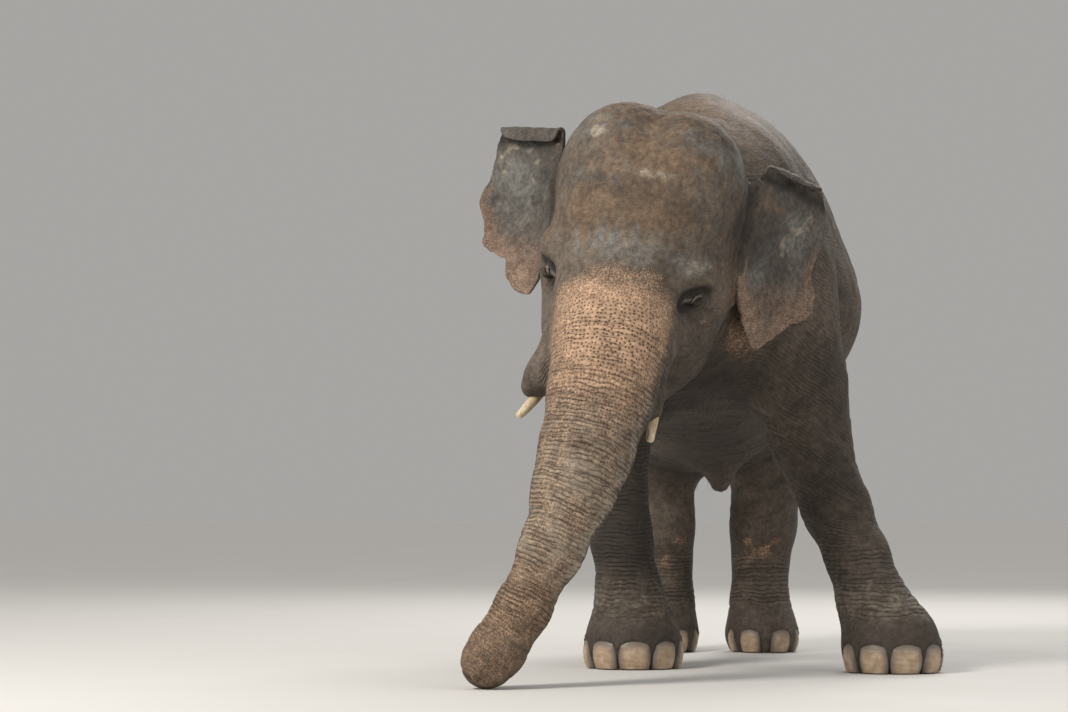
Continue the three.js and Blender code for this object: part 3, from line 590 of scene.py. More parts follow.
class Board:
    """Lays out the nodes of one material or group."""

    def __init__(self, tree):
        self.tree = tree

    def put(self, kind, settings=None, **inputs):
        node = self.tree.nodes.new(kind)
        for key, value in (settings or {}).items():
            setattr(node, key, value)
        for key, value in inputs.items():
            self.feed(node.inputs[key.replace("_", " ")], value)
        return node

    def feed(self, socket, value):
        if isinstance(value, Wire):
            self.tree.links.new(value.socket, socket)
        else:
            plain = socket.type == "RGBA" and len(value) == 3
            socket.default_value = (*value, 1.0) if plain else value

    def feed_each(self, node, values):
        for index, value in values.items():
            self.feed(node.inputs[index], value)
        return node

    def wires(self, node):
        return {socket.name: Wire(self, socket) for socket in node.outputs}

    def first(self, kind, settings=None, **inputs):
        return Wire(self, self.put(kind, settings, **inputs).outputs[0])

    def math(self, operation, a, b=0.0, c=0.0):
        node = self.put("ShaderNodeMath", {"operation": operation})
        return Wire(self, self.feed_each(node, {0: a, 1: b, 2: c}).outputs[0])

    def mix(self, amount, a, b, blend="MIX"):
        node = self.put("ShaderNodeMix", {"data_type": "RGBA", "blend_type": blend, "clamp_factor": True})
        return Wire(self, self.feed_each(node, {0: amount, 6: a, 7: b}).outputs[2])

    def soft(self, value, low, high, to_low=0.0, to_high=1.0):
        node = self.put("ShaderNodeMapRange", {"interpolation_type": "SMOOTHSTEP"})
        ends = {"Value": value, "From Min": low, "From Max": high, "To Min": to_low, "To Max": to_high}
        return Wire(self, self.feed_each(node, ends).outputs[0])

    def noise(self, vector, scale, detail=3.0, roughness=0.55):
        return self.first("ShaderNodeTexNoise", None, Vector=vector, Scale=scale, Detail=detail, Roughness=roughness)

    def cells(self, vector, scale, feature, randomness=1.0, dimensions="3D"):
        settings = {"feature": feature, "voronoi_dimensions": dimensions}
        return self.first("ShaderNodeTexVoronoi", settings, Vector=vector, Scale=scale, Randomness=randomness)

    def split(self, vector):
        return list(self.wires(self.put("ShaderNodeSeparateXYZ", None, Vector=vector)).values())

    def stretched(self, vector, scale):
        return self.first("ShaderNodeMapping", None, Vector=vector, Scale=scale)

    def bump(self, strength, distance, height):
        return self.first("ShaderNodeBump", None, Strength=strength, Distance=distance, Height=height)

    def painted(self, name, output="Vector"):
        """What is kept on the piece's points under this name."""
        node = self.put("ShaderNodeAttribute", {"attribute_type": "GEOMETRY", "attribute_name": name})
        return self.wires(node)[output]

    def group(self, name, **inputs):
        node = self.tree.nodes.new("ShaderNodeGroup")
        node.node_tree = bpy.data.node_groups[name]
        self.feed_each(node, {key.replace("_", " "): value for key, value in inputs.items()})
        return self.wires(node)


SOCKET_TYPES = {"vector": "NodeSocketVector", "colour": "NodeSocketColor", "value": "NodeSocketFloat"}


def new_group(name, inputs, outputs):
    """A node group's board, inputs and outputs; each input is given as its kind, or as its usual number."""
    tree = bpy.data.node_groups.new(name, "ShaderNodeTree")
    for socket_name, kind in inputs.items():
        usual = None if kind in SOCKET_TYPES else kind
        socket_type = SOCKET_TYPES[kind if usual is None else "value"]
        socket = tree.interface.new_socket(socket_name, in_out="INPUT", socket_type=socket_type)
        if usual is not None:
            socket.default_value = usual
    for socket_name, kind in outputs.items():
        tree.interface.new_socket(socket_name, in_out="OUTPUT", socket_type=SOCKET_TYPES[kind])
    board = Board(tree)
    return board, board.wires(board.put("NodeGroupInput")), board.put("NodeGroupOutput").inputs


def make_creases_group():
    """Wrinkles of the hide: rings across the lie, long wandering folds, and a fine cracked network."""
    board, given, result = new_group(
        "Hide creases",
        {"Surface": "vector", "Fold": "vector", "Ring spacing": 0.021, "Fold spacing": 0.03, "Crack size": 0.011},
        {"Height": "value", "Lines": "value"},
    )
    where = given["Surface"]
    lie, ring_share, fold_share = board.split(given["Fold"])
    x, y, _ = board.split(where)
    calm = 1.0 - ring_share * 0.40
    drift = (board.noise(where, 6.0, 2.0) - 0.5) * (calm * 0.070)
    jitter = (board.noise(where, 24.0, 2.0) - 0.5) * (calm * 0.020)
    wandering = lie + drift + jitter
    turns = wandering / given["Ring spacing"]

    def valleys(pitch, sharpness):
        wave = board.math("ABSOLUTE", board.math("SINE", turns * (math.pi * pitch)))
        return 1.0 - board.math("POWER", wave, sharpness)

    ring = board.math("MAXIMUM", valleys(1.0, 0.58), valleys(0.437, 0.45) * 0.75)
    ring = ring * (board.soft(board.noise(where, 13.0, 3.0), 0.30, 0.60, 0.30, 1.0) * ring_share)
    across = board.first("ShaderNodeCombineXYZ", None, X=x * 0.32, Y=y * 0.32, Z=wandering)
    fold = board.cells(across, 1.0 / given["Fold spacing"], "DISTANCE_TO_EDGE")
    patchy = board.soft(board.noise(where, 4.0, 2.0), 0.35, 0.65, 0.3, 1.0)
    fold_lines = (1.0 - board.soft(fold, 0.0, 0.18)) * patchy * fold_share
    crack = board.cells(where, 1.0 / given["Crack size"], "DISTANCE_TO_EDGE")
    crack_lines = 1.0 - board.soft(crack, 0.0, 0.25)
    depth = board.math("MAXIMUM", fold_lines * 0.55, ring) + crack_lines * 0.10
    board.feed(result["Height"], (1.0 - depth) + board.noise(where, 130.0, 3.0) * 0.15)
    # Lines: where the hide tones paint shade into the crease lines; roughness follows them too
    lines = board.math("MAXIMUM", fold_lines, ring)
    board.feed(result["Lines"], board.math("MAXIMUM", lines, crack_lines * 0.42))


def make_freckles_group():
    """Even round dots on the hide laid flat; Reach is each dot's radius as a share of their spacing."""
    board, given, result = new_group("Freckles", {"Lay": "vector", "Spacing": 0.018, "Reach": 0.3}, {"Mask": "value"})
    spread = board.cells(given["Lay"], 1.0 / given["Spacing"], "F1", 0.62, "2D")
    uneven = (board.noise(given["Lay"], 50.0, 2.0) - 0.5) * 0.30
    board.feed(result["Mask"], board.soft(given["Reach"] + uneven - spread, -0.07, 0.07))


def make_patches_group():
    """Breaks a soft painted area up into ragged patches."""
    board, given, result = new_group(
        "Ragged patches",
        {"Surface": "vector", "Area": 0.0, "Lump size": 0.08, "Raggedness": 0.5},
        {"Mask": "value"},
    )
    lumps = board.noise(given["Surface"], 1.0 / given["Lump size"], 5.0, 0.62)
    on = board.soft(given["Area"] + (lumps - 0.5) * (given["Raggedness"] * 2.2), 0.08, 0.85)
    board.feed(result["Mask"], on * board.soft(given["Area"], 0.0, 0.20))


def make_hide_tones_group():
    """Colour of the hide from the painted areas and the spots, darkened towards Dark as painted shade by the dark tone,
    the creases and the lines in them.
    """
    inputs = dict.fromkeys(("Surface", "Lay", "Tint", "Tone"), "vector") | {"Lines": 0.0, "Spot spacing": 0.0185}
    names = ("Hide", "Worn", "Blue grey", "Ochre", "Pink", "Dark", "Pale", "Spot")
    board, given, result = new_group("Hide tones", inputs | dict.fromkeys(names, "colour"), {"Colour": "colour"})
    pink, ochre, blue = board.split(given["Tint"])
    dark, pale, crease = board.split(given["Tone"])
    where = given["Surface"]
    colour = board.mix(board.soft(board.noise(where, 2.2, 5.0), 0.35, 0.7), given["Hide"], given["Worn"])
    upright = board.stretched(where, (1.0, 1.0, 0.25))
    for name, area, surface, lump, ragged, share in (
        ("Blue grey", blue, where, 0.07, 0.75, 0.9),
        ("Ochre", ochre, upright, 0.035, 1.0, 0.8),
        ("Pale", pale, where, 0.035, 0.8, 0.8),
    ):
        patches = board.group("Ragged patches", Surface=surface, Area=area, Lump_size=lump, Raggedness=ragged)
        colour = board.mix(patches["Mask"] * share, colour, given[name])

    # pink hide, with pink salted round its edge, small spots in its rim and wide ones in its middle
    level = pink + (board.noise(where, 9.0, 4.0) - 0.5) * board.soft(pink, 0.0, 0.3, 0.0, 0.42)
    colour = board.mix(board.soft(level, 0.20, 0.72, 0.0, 0.96), colour, given["Pink"])
    rim = board.soft(level, 0.15, 0.40) * board.soft(level, 0.85, 0.60, 0.0, 0.6)
    wide = given["Spot spacing"]
    for name, spacing, reach, share in (
        ("Pink", wide * 0.50, board.soft(level, 0.05, 0.55, 0.12, 0.62), board.soft(level, 0.06, 0.30, 0.0, 0.58)),
        ("Spot", wide * 0.70, board.soft(level, 0.25, 0.7, 0.40, 0.26), rim),
        ("Spot", wide, 0.235, board.soft(level, 0.45, 0.80, 0.0, 0.90)),
    ):
        dots = board.group("Freckles", Lay=given["Lay"], Spacing=spacing, Reach=reach)
        colour = board.mix(dots["Mask"] * share, colour, given[name])

    mottle = board.soft(board.noise(where, 45.0, 3.0), 0.3, 0.7, 0.74, 1.26)
    mottle = mottle * board.soft(board.noise(where, 15.0, 2.0), 0.3, 0.7, 0.84, 1.14)
    grey = board.first("ShaderNodeCombineColor", None, Red=mottle, Green=mottle, Blue=mottle)
    colour = board.mix(1.0, colour, grey, "MULTIPLY")
    # painted shade: the dark tone, the creases and the crease lines, weaker in pink hide, darken the hide towards Dark
    for share in (dark * 0.94, crease * 0.6, given["Lines"] * board.soft(pink, 0.2, 0.9, 0.86, 0.58)):
        colour = board.mix(share, colour, given["Dark"])
    board.feed(result["Colour"], colour)


def skin_finish(board, where, colours, base, spacing, roughness, gloss, bump):
    """Wrinkled hide: base is its hide, worn and pink colours; spacing is that of rings, folds, cracks and spots."""
    rings, folds, cracks, spots = spacing
    creases = board.group(
        "Hide creases", Surface=where, Fold=board.painted("fold"),
        Ring_spacing=rings, Fold_spacing=folds, Crack_size=cracks,
    )
    painted = {name.capitalize(): board.painted(name) for name in ("lay", "tint", "tone")}
    shared = {name.capitalize(): getattr(colours, name) for name in ("blue_grey", "ochre", "dark", "pale", "spot")}
    tones = board.group(
        "Hide tones", Surface=where, Lines=creases["Lines"], Spot_spacing=spots,
        **painted, **shared, **dict(zip(("Hide", "Worn", "Pink"), base)),
    )
    return {
        "Base Color": tones["Colour"],
        "Roughness": board.soft(creases["Lines"], 0.0, 1.0, *roughness),
        "Specular IOR Level": gloss,
        "Normal": board.bump(*bump, creases["Height"]),
    }


def hide_finish(board, where, colours):
    base = colours.hide, colours.worn, colours.pink
    return skin_finish(board, where, colours, base, (0.0185, 0.034, 0.0080, 0.0185), (0.66, 0.9), 0.35, (0.9, 0.008))


def ear_finish(board, where, colours):
    base = colours.ear, colours.ear_worn, colours.ear_pink
    return skin_finish(board, where, colours, base, (0.016, 0.024, 0.009, 0.0125), (0.62, 0.85), 0.4, (0.8, 0.006))


def nail_finish(board, where, colours):
    growth = board.noise(board.stretched(where, (1.0, 1.0, 6.0)), 16.0, 4.0)
    stain = board.noise(where, 22.0, 4.0)
    colour = board.mix(board.soft(stain, 0.35, 0.7), colours.nail, colours.nail_pale)
    colour = board.mix(board.soft(growth, 0.55, 0.75, 0.0, 0.5), colour, colours.nail_stain)
    return {
        "Base Color": board.mix(board.soft(board.painted("edge", "Fac"), 0.45, 1.0), colour, colours.nail_rim),
        "Roughness": board.soft(stain, 0.3, 0.8, 0.42, 0.65),
        "Normal": board.bump(0.5, 0.003, growth * 0.6 + board.noise(where, 90.0, 3.0) * 0.3),
    }


def ivory_finish(board, where, colours):
    grain = board.noise(board.stretched(where, (3.0, 3.0, 0.6)), 30.0, 4.0)
    colour = board.mix(board.soft(grain, 0.4, 0.7), colours.ivory, colours.ivory_stain)
    return {
        "Base Color": board.mix(board.soft(board.painted("run", "Fac"), 0.55, 0.0), colour, colours.ivory_stain),
        "Roughness": board.soft(grain, 0.3, 0.7, 0.32, 0.5),
        "Subsurface Weight": 0.08,
        "Normal": board.bump(0.35, 0.001, grain),
    }


def eye_finish(board, where, colours):
    gaze = board.painted("gaze", "Fac")
    fibres = board.noise(where, 420.0, 4.0, 0.7)
    iris = board.mix(board.soft(fibres, 0.3, 0.75), colours.iris, colours.iris_light)
    ring = board.mix(board.soft(gaze, 0.74, 0.82), iris, colours.eye_white)
    return {
        "Base Color": board.mix(board.soft(gaze, 0.30, 0.26), ring, PUPIL_COLOUR),
        "Roughness": board.soft(fibres, 0.2, 0.8, 0.05, 0.12),
        "Specular IOR Level": 0.25,
        "Coat Weight": 0.45,
        "Coat Roughness": 0.03,
        "Normal": board.bump(0.15, 0.0003, fibres),
    }


def hair_finish(board, where, colours):
    shade = board.noise(where, 60.0, 3.0)
    return {
        "Base Color": board.mix(board.soft(shade, 0.3, 0.7), colours.hair, colours.hair_light),
        "Roughness": board.soft(shade, 0.3, 0.7, 0.4, 0.6),
    }


def floor_finish(board, where, colours):
    shade = board.noise(where, 1.5, 4.0)
    return {
        "Base Color": board.mix(board.soft(shade, 0.3, 0.7, 0.0, 0.06), colours.floor, FLOOR_DUST),
        "Roughness": board.soft(shade, 0.3, 0.7, 0.75, 0.85),
    }


PUPIL_COLOUR = (0.002, 0.002, 0.002)
FLOOR_DUST = (0.5, 0.48, 0.45)

# Each material's plain colour among the settings, and what makes its shader's inputs.
FINISHES = {
    "Elephant hide": ("hide", hide_finish),
    "Elephant ear hide": ("hide", ear_finish),
    "Toenail horn": ("nail", nail_finish),
    "Tusk ivory": ("ivory", ivory_finish),
    "Eye": ("iris", eye_finish),
    "Bristle": ("hair", hair_finish),
    "Studio floor": ("floor", floor_finish),
}
GROUP_MAKERS = {
    "Hide creases": make_creases_group,
    "Freckles": make_freckles_group,
    "Ragged patches": make_patches_group,
    "Hide tones": make_hide_tones_group,
}


def finish_of(name, context):
    """The named material, made with its shared groups when first asked for."""
    for group, make in GROUP_MAKERS.items():
        if group not in bpy.data.node_groups:
            make()
    if name in bpy.data.materials:
        return bpy.data.materials[name]
    colours = context.scene.elephant_colours
    plain, make = FINISHES[name]
    material = bpy.data.materials.new(name)
    material.use_nodes = True
    material.diffuse_color = (*getattr(colours, plain), 1.0)
    board = Board(material.node_tree)
    where = board.wires(board.put("ShaderNodeTexCoord"))["Object"]
    board.feed_each(material.node_tree.nodes["Principled BSDF"], make(board, where, colours))
    return material


# ---------------------------------------------------------------- the hide


def ball(mesh, centre, radii, turn=None, detail=3):
    matrix = Matrix.Translation(Vector(centre))
    if turn is not None:
        matrix = matrix @ Matrix(turn).to_4x4()
    bmesh.ops.create_icosphere(mesh, subdivisions=detail, radius=1.0, matrix=matrix @ Matrix.Diagonal((*radii, 1.0)))


def string_of_balls(mesh, stations, least=0.0):
    for start, end in zip(stations[:-1], stations[1:]):
        start, end = np.array(start), np.array(end)
        count = max(1, math.ceil(np.linalg.norm(end[:3] - start[:3]) / (0.35 * max(min(start[3], end[3]), least))))
        for k in range(count + 1):
            x, y, z, radius = start + (end - start) * k / count
            ball(mesh, (x, y, z), [max(radius, least)] * 3, detail=2)


def placed_limb(stations, side):
    """Stations given in the head's frame, moved to the animal's frame."""
    return [(*from_head((x * side, y, z)), radius) for x, y, z, radius in stations]


def rough_body(voxel):
    """All masses of the animal as overlapping balls, run together into one closed surface."""
    mesh = bmesh.new()
    for y in np.arange(-0.27, 1.70, 0.09):
        at = np.array([y])
        rounding = math.sqrt(1 - min(1, float(into_end(at, CHEST_END)[0] ** 2 + into_end(at, RUMP_END)[0] ** 2)))
        top, bottom, half, sway = [float(profile(at, k)[0]) for k in (1, 2, 3, 4)]
        ball(mesh, (sway, y, (top + bottom) / 2), (half * rounding, 0.14, (top - bottom) / 2 * rounding))
    for side in SIDES.values():
        ball(mesh, (side * FLANK_CENTRE[0] + FLANK_SWAY, *FLANK_CENTRE[1:]), FLANK_HALF)
    for line in (*NECK, GROIN_FOLD, TRUNK_LINE, HINDLEG, HAUNCH, mirrored(HINDLEG), mirrored(HAUNCH)):
        string_of_balls(mesh, line)
    # the tail hangs a little further back here, so that its surface stays clear of the rump's
    tail = [(x, y + 0.03 * max(0, 1.9 - z) ** 0.5, z, radius) for x, y, z, radius in TAIL_LINE]
    string_of_balls(mesh, tail, least=voxel * 1.5)
    for line, foot in ((FORELEG_LEFT, "forefoot_left"), (FORELEG_RIGHT, "forefoot_right")):
        string_of_balls(mesh, [*line, FEET[foot]])
        ball(mesh, elbow(line), [ELBOW_RADIUS] * 3)
    for leg, foot in ((HINDLEG, "hindfoot_left"), (mirrored(HINDLEG), "hindfoot_right")):
        string_of_balls(mesh, [leg[-1], *hindfoot_balls(FEET[foot])])
    for centre, half, paired, _ in (*HEAD_MASSES.values(), (*EYE_MOUND, True, 0)):
        for side in SIDES.values() if paired else (1,):
            ball(mesh, from_head((centre[0] * side, *centre[1:])), half, HEAD_AXES)
    for side in SIDES.values():
        string_of_balls(mesh, placed_limb(MANDIBLE, side))
        string_of_balls(mesh, placed_limb(TUSK_SHEATH, side))
    string_of_balls(mesh, placed_limb(LIP, 1))
    for side in EAR_SEATS:
        string_of_balls(mesh, placed_limb(ear_root(side), 1), least=voxel * 1.4)

    lumps = add_piece("lumps", mesh, smooth=False)
    remesh = lumps.modifiers.new("One surface", "REMESH")
    remesh.mode = "VOXEL"
    remesh.voxel_size = voxel
    evaluated = lumps.evaluated_get(bpy.context.evaluated_depsgraph_get())
    surface = bpy.data.meshes.new_from_object(evaluated)
    source = lumps.data
    bpy.data.objects.remove(lumps)
    bpy.data.meshes.remove(source)
    return surface


def outer_shell(mesh):
    """Drops the hollows that are left between the lumps, and keeps the one outer surface."""
    shape = bmesh.new()
    shape.from_mesh(mesh)
    start = min(shape.verts, key=lambda vert: vert.co.x)
    kept, rim = {start}, [start]
    while rim:
        rim = [other for vert in rim for edge in vert.link_edges for other in edge.verts if other not in kept]
        kept.update(rim)
        rim = list(dict.fromkeys(rim))
    bmesh.ops.delete(shape, geom=[vert for vert in shape.verts if vert not in kept], context="VERTS")
    shape.to_mesh(mesh)
    shape.free()
    mesh.update()
    return mesh


def uphill(p, depth, here):
    """Direction in which the distance to the hide grows fastest."""
    step = 0.003
    slope = np.stack([skin_field(p + np.eye(3)[a] * step, depth) - here for a in range(3)], 1)
    return slope / np.maximum(np.linalg.norm(slope, axis=1, keepdims=True), 1e-9)


# How far off the hide a point may lie before its way there is looked up, before it counts as stuck,
# and how far it moves at most in one round.
NEAR_ENOUGH, STUCK, LONGEST_STEP = 0.003, 0.006, 0.025


def settle(mesh, depth, rounds, evening=0.5):
    """Draws the points onto the hide and spaces them evenly along it."""
    edges = read(mesh.edges, "vertices", 2, np.int32)
    for k in range(rounds):
        p = points_of(mesh)
        way = normals_of(mesh)
        if k < rounds - 1:
            p = evened(p, way, edges, evening)
        gap = skin_field(p, depth)
        far = np.abs(gap) > NEAR_ENOUGH
        way[far] = uphill(p[far], depth, gap[far])
        p = p - way * np.clip(gap, -LONGEST_STEP, LONGEST_STEP)[:, None]
        p[:, 2] = np.maximum(p[:, 2], 0.0)
        move_points(mesh, p)
    stuck = np.abs(skin_field(p, depth)) > STUCK
    for _ in range(12):
        p[stuck] = evened(p, p * 0, edges, 1.0)[stuck]
    move_points(mesh, p)


def eye_centres():
    return {side: from_head((sign * EYE_SEAT[0], *EYE_SEAT[1:])) for side, sign in SIDES.items()}


# Distances from an eye within which edges are this share of the surface step.
EYE_EDGES = ((0.115, 4), (0.068, 8), (0.050, 16))


def wanted_edge(p, voxel):
    """Length of edge that the surface needs at each place: finest at the eyes and down the trunk."""
    want = np.full(len(p), voxel)
    h = to_head(p)
    legs = leg_fields(p)
    for name, field in legs.items():
        low = 1.00 if name.startswith("fore") else 0.55
        want[(field < 0.02) & (p[:, 2] < low)] = voxel / 2
    on_head = head_field(p) < 0.015
    front = h[:, 1] < 0.32
    want[on_head & front] = voxel / 2
    run, angle = along_trunk(p)
    on_trunk = (trunk_field(p) < 0.02) & (run > 0.10)
    want[on_trunk] = voxel / 2
    want[on_trunk & (np.abs(angle - 0.1) < 1.65)] = voxel / 4
    tail = tail_field(p) < 0.02
    want[tail & (p[:, 1] > 1.75)] = voxel / 2
    for centre in eye_centres().values():
        away = np.linalg.norm(p - centre, axis=1)
        for reach, share in EYE_EDGES:
            want[away < reach] = voxel / share
    return want


def divided(mesh, edge, voxel):
    """One round of subdivision wherever the surface needs shorter edges than it has."""
    shape = bmesh.new()
    shape.from_mesh(mesh)
    middles = np.array([face.calc_center_median() for face in shape.faces])
    need = wanted_edge(middles, voxel) < edge * 0.75
    edges = list({e for face, fine in zip(shape.faces, need) if fine for e in face.edges})
    bmesh.ops.subdivide_edges(shape, edges=edges, cuts=1, use_grid_fill=True, use_single_edge=True)
    bmesh.ops.triangulate(shape, faces=[face for face in shape.faces if len(face.verts) > 4])
    shape.to_mesh(mesh)
    shape.free()
    mesh.update()


# Which way the trunk's tip points, and the way from one nostril to the other.
TIP_HEADING, TIP_ASIDE = np.array([-0.52, -0.60, -0.61]), np.array([0.75, -0.66, 0.01])

# Hollows behind the shoulder blades and before the hips: middle, radii and depth.
BODY_HOLLOWS = (
    ((0.40, 0.46, 1.95), (0.10, 0.10, 0.34), 0.022),
    ((-0.52, 0.46, 1.95), (0.10, 0.10, 0.34), 0.022),
    ((0.45, 1.20, 1.95), (0.16, 0.12, 0.20), 0.018),
    ((-0.45, 1.20, 1.95), (0.16, 0.12, 0.20), 0.018),
)


def trunk_relief(p, depth):
    """Folds round the trunk: deep ones about 100 mm apart, with smaller ones between, and the nostrils."""
    run, angle = along_trunk(p)
    on = fade(trunk_field(p), 0.05, 0.01) * fade(run, 0.12, 0.32)
    wander = 0.012 * cloud(np.stack([angle * 0.16, run * 0.6, angle * 0], 1), 0.11, 3) + 0.006 * cloud(p, 0.05, 4)
    height = run + wander + 0.030 * (1 - np.cos(angle))
    deep = ring_lines(height / 0.100 + 0.15, 0.5) ** 3.0
    medium = ring_lines(height / 0.0405, 0.6) ** 1.6
    strong = 0.55 + 0.45 * cloud(np.stack([angle * 0.5, height, angle * 0], 1), 0.09, 5)
    back = 0.45 + 0.55 * fade(np.abs(angle), 2.6, 1.5)
    mid = 0.30 + 0.70 * fade(run, 0.45, 0.62)
    total = on * back * (deep * 0.0070 * mid + medium * 0.0040 * strong * mid)
    # the crease share darkens the hide as painted shade in the trunk's folds and in the nostril pits
    crease = on * (0.8 * deep + 0.45 * medium * strong)
    for side in SIDES.values():
        pit = p - np.array(TRUNK_LINE[-1][:3]) - 0.099 * TIP_HEADING - 0.027 * side * TIP_ASIDE
        pit = np.exp(-(pit**2).sum(1) / 0.016**2)
        total = total + 0.013 * pit
        crease = crease + pit
    return -total * depth, crease


def relief(p, depth):
    """How far each point of the hide rises or sinks, and how deep in a crease it lies, which sets the painted shade
    there.
    """
    h = to_head(p)
    both = both_sides(h)
    x, y, z = p.T
    rise, crease = trunk_relief(p, depth)
    legs, barrel, head = leg_fields(p), barrel_field(p), head_field(p)

    # each fold sinks the hide, and its shade share adds painted shade in the crease
    def fold(place, sunk, shade=0.6):
        nonlocal rise, crease
        rise -= sunk * place
        crease += shade * place

    def bands(height, pitch, place, sunk):
        fold(place * ring_lines(height / pitch, 0.6) ** 1.5, sunk)

    # folds where the legs and the neck meet the body
    for field in legs.values():
        fold(furrow(field - barrel - 0.01, 0.022) * fade(z, 1.75, 1.35) * fade(barrel, 0.10, 0.04), 0.010, 0.5)
    fold(furrow(head - barrel, 0.020) * fade(head, 0.08, 0.03) * fade(z, 2.25, 2.0), 0.010, 0.3)
    for shift in (0.085, 0.150, 0.215):
        line = furrow(head - barrel - shift + 0.02 * cloud(p, 0.2, 6), 0.016)
        fold(line * fade(head, 0.35, 0.1) * fade(z, 2.2, 1.9), 0.006, 0.3)

    # wrists, ankles and knees
    wobble = 0.012 * cloud(p, 0.12, 8) + 0.005 * cloud(p, 0.05, 9)
    for name, field in legs.items():
        on = fade(field, 0.03, 0.005)
        if name.startswith("fore"):
            tilt = 0.10 * x if name.endswith("left") else 0.0
            bands(z + wobble + tilt, 0.036, on * fade(z, 0.50, 0.40) * fade(z, 0.20, 0.26), 0.0055)
            bands(z + 2.5 * wobble + 0.45 * x, 0.062, on * fade(z, 1.3, 1.1) * fade(z, 0.5, 0.62), 0.0040)
        else:
            bands(z + wobble, 0.034, on * fade(z, 0.36, 0.30) * fade(z, 0.15, 0.20), 0.0045)
            bands(z + 3 * wobble + 0.3 * y, 0.075, on * fade(z, 1.15, 1.0) * fade(z, 0.55, 0.65), 0.0045)

    # loose skin of the flank, belly and shoulder, in long wandering folds
    on_body = fade(head, 0.02, 0.10)
    sway = np.stack([x * 0.7, y * 1.5 + 0.25 * z, z * 0.35], 1)
    for size, seed, strength in ((0.17, 11, 0.0055), (0.09, 12, 0.0042)):
        line = furrow(cloud(sway, size, seed) + 0.3 * cloud(p, size * 0.4, seed + 5), 0.16)
        fold(line * on_body * fade(z, 2.45, 2.15) * fade(z, 0.7, 0.95), strength, 0.14)

    # beside the spine, behind the shoulder blades and before the hips
    middle = np.abs(x - profile(y, 4))
    rise -= 0.010 * furrow(middle - 0.17, 0.08) * fade(z, 2.0, 2.3) * on_body
    for centre, radii, strength in BODY_HOLLOWS:
        rise -= strength * blot(p, centre, radii)

    # head: temple, cheek, hollow between the domes, roots of the ears, mouth line
    rise -= 0.030 * blot(both, (0.345, 0.105, 0.240), (0.075, 0.080, 0.120))
    rise -= 0.012 * blot(both, (0.330, 0.110, -0.090), (0.060, 0.070, 0.060))
    rise -= 0.016 * blot(h, (0.060, -0.140, 0.420), (0.130, 0.080, 0.045))
    for gap, back, this_side in ear_ridges(h):
        lines = sum(furrow(gap - at + 0.010 * cloud(p, 0.07, 15), 0.009) for at in (0.010, 0.040, 0.072))
        lines *= fade(h[:, 1], back + 0.02, back - 0.03) * fade(h[:, 2], -0.12, 0.02) * this_side
        rise -= 0.008 * lines
        crease += 0.55 * np.clip(lines, 0, 1)
    upper = upper_head_field(p, h)
    lower = smooth_union(limb(h, LIP), limb(both, MANDIBLE), 0.05)
    mouth = furrow(upper - lower, 0.010) * fade(h[:, 2], -0.30, -0.38)
    fold(mouth * fade(np.minimum(upper, lower), 0.05, 0.02), 0.016, 0.9)

    # fine upright lines on the forehead
    brow = fade(head, 0.02, 0.005) * fade(h[:, 2], -0.35, -0.2) * fade(h[:, 1], 0.45, 0.25)
    lines = furrow(cloud(h * np.array([1, 1, 0.3]), 0.055, 14), 0.14)
    fold(brow * lines * fade(h[:, 2], 0.16, 0.28), 0.0045, 0.40)
    return rise, crease


def nail_table():
    """Every nail: foot, number, centre, half width, half height, bearing in degrees."""
    rows = []
    fore = ((-80, 0.050), (-41, 0.066), (0, 0.072), (41, 0.066), (80, 0.050))
    hind = ((-80, 0.042), (-29, 0.054), (29, 0.054), (80, 0.042))
    for foot, (x, y, _, radius) in FEET.items():
        ahead = 0.0 if foot.startswith("fore") else HINDFOOT_HALF_LENGTH
        turn = 12.0 if foot == "forefoot_left" else 0.0
        tall = 0.058 if foot.startswith("fore") else 0.050
        for number, (bearing, half) in enumerate(fore if foot.startswith("fore") else hind, 1):
            angle = math.radians(bearing + turn)
            centre = (x + math.sin(angle) * radius * 0.97, y - ahead - math.cos(angle) * radius * 0.97, 0.036)
            rows.append((foot, number, np.array(centre), half * 1.02, tall * 1.48, angle))
    return rows


def nail_relief(p):
    """Skin stands up in a rim round each nail and sinks behind it."""
    rise = np.zeros(len(p))
    near_floor = p[:, 2] < 0.2
    q = p[near_floor]
    part = np.zeros(len(q))
    for _, _, centre, half, tall, angle in nail_table():
        across = (q[:, 0] - centre[0]) * math.cos(angle) + (q[:, 1] - centre[1]) * math.sin(angle)
        depth = (q[:, 0] - centre[0]) * math.sin(angle) - (q[:, 1] - centre[1]) * math.cos(angle)
        high = np.maximum(q[:, 2] - centre[2], 0) / tall
        reach = (np.abs(across / half) ** 2.4 + high**2.4) ** (1 / 2.4)
        close = fade(np.abs(depth), 0.10, 0.06)
        part += close * (0.006 * furrow(reach - 1.13, 0.10) * fade(high, 0.0, 0.5) - 0.008 * fade(reach, 1.02, 0.90))
    rise[near_floor] = part
    return rise


def eye_frame(side):
    """Middle of the eyeball and its outward, forward and upward directions."""
    sign = SIDES[side]
    outward = Vector((sign * 0.88, -0.46, -0.05)).normalized()
    forward = Vector((-sign * 0.42, -0.86, -0.46))
    forward = (forward - outward * forward.dot(outward)).normalized()
    upward = forward.cross(outward) * sign
    axes = [np.array(axis) @ HEAD_AXES.T for axis in (outward, forward, upward)]
    return eye_centres()[side], axes


# Round each eye: how far out skin is shaped, how far the lids lie off the eyeball,
# and how deep the crease over the upper and under the lower lid is.
EYE_REACH, LID_LIFT, LID_CREASES = 0.16, 0.0050, (0.0062, 0.0040)


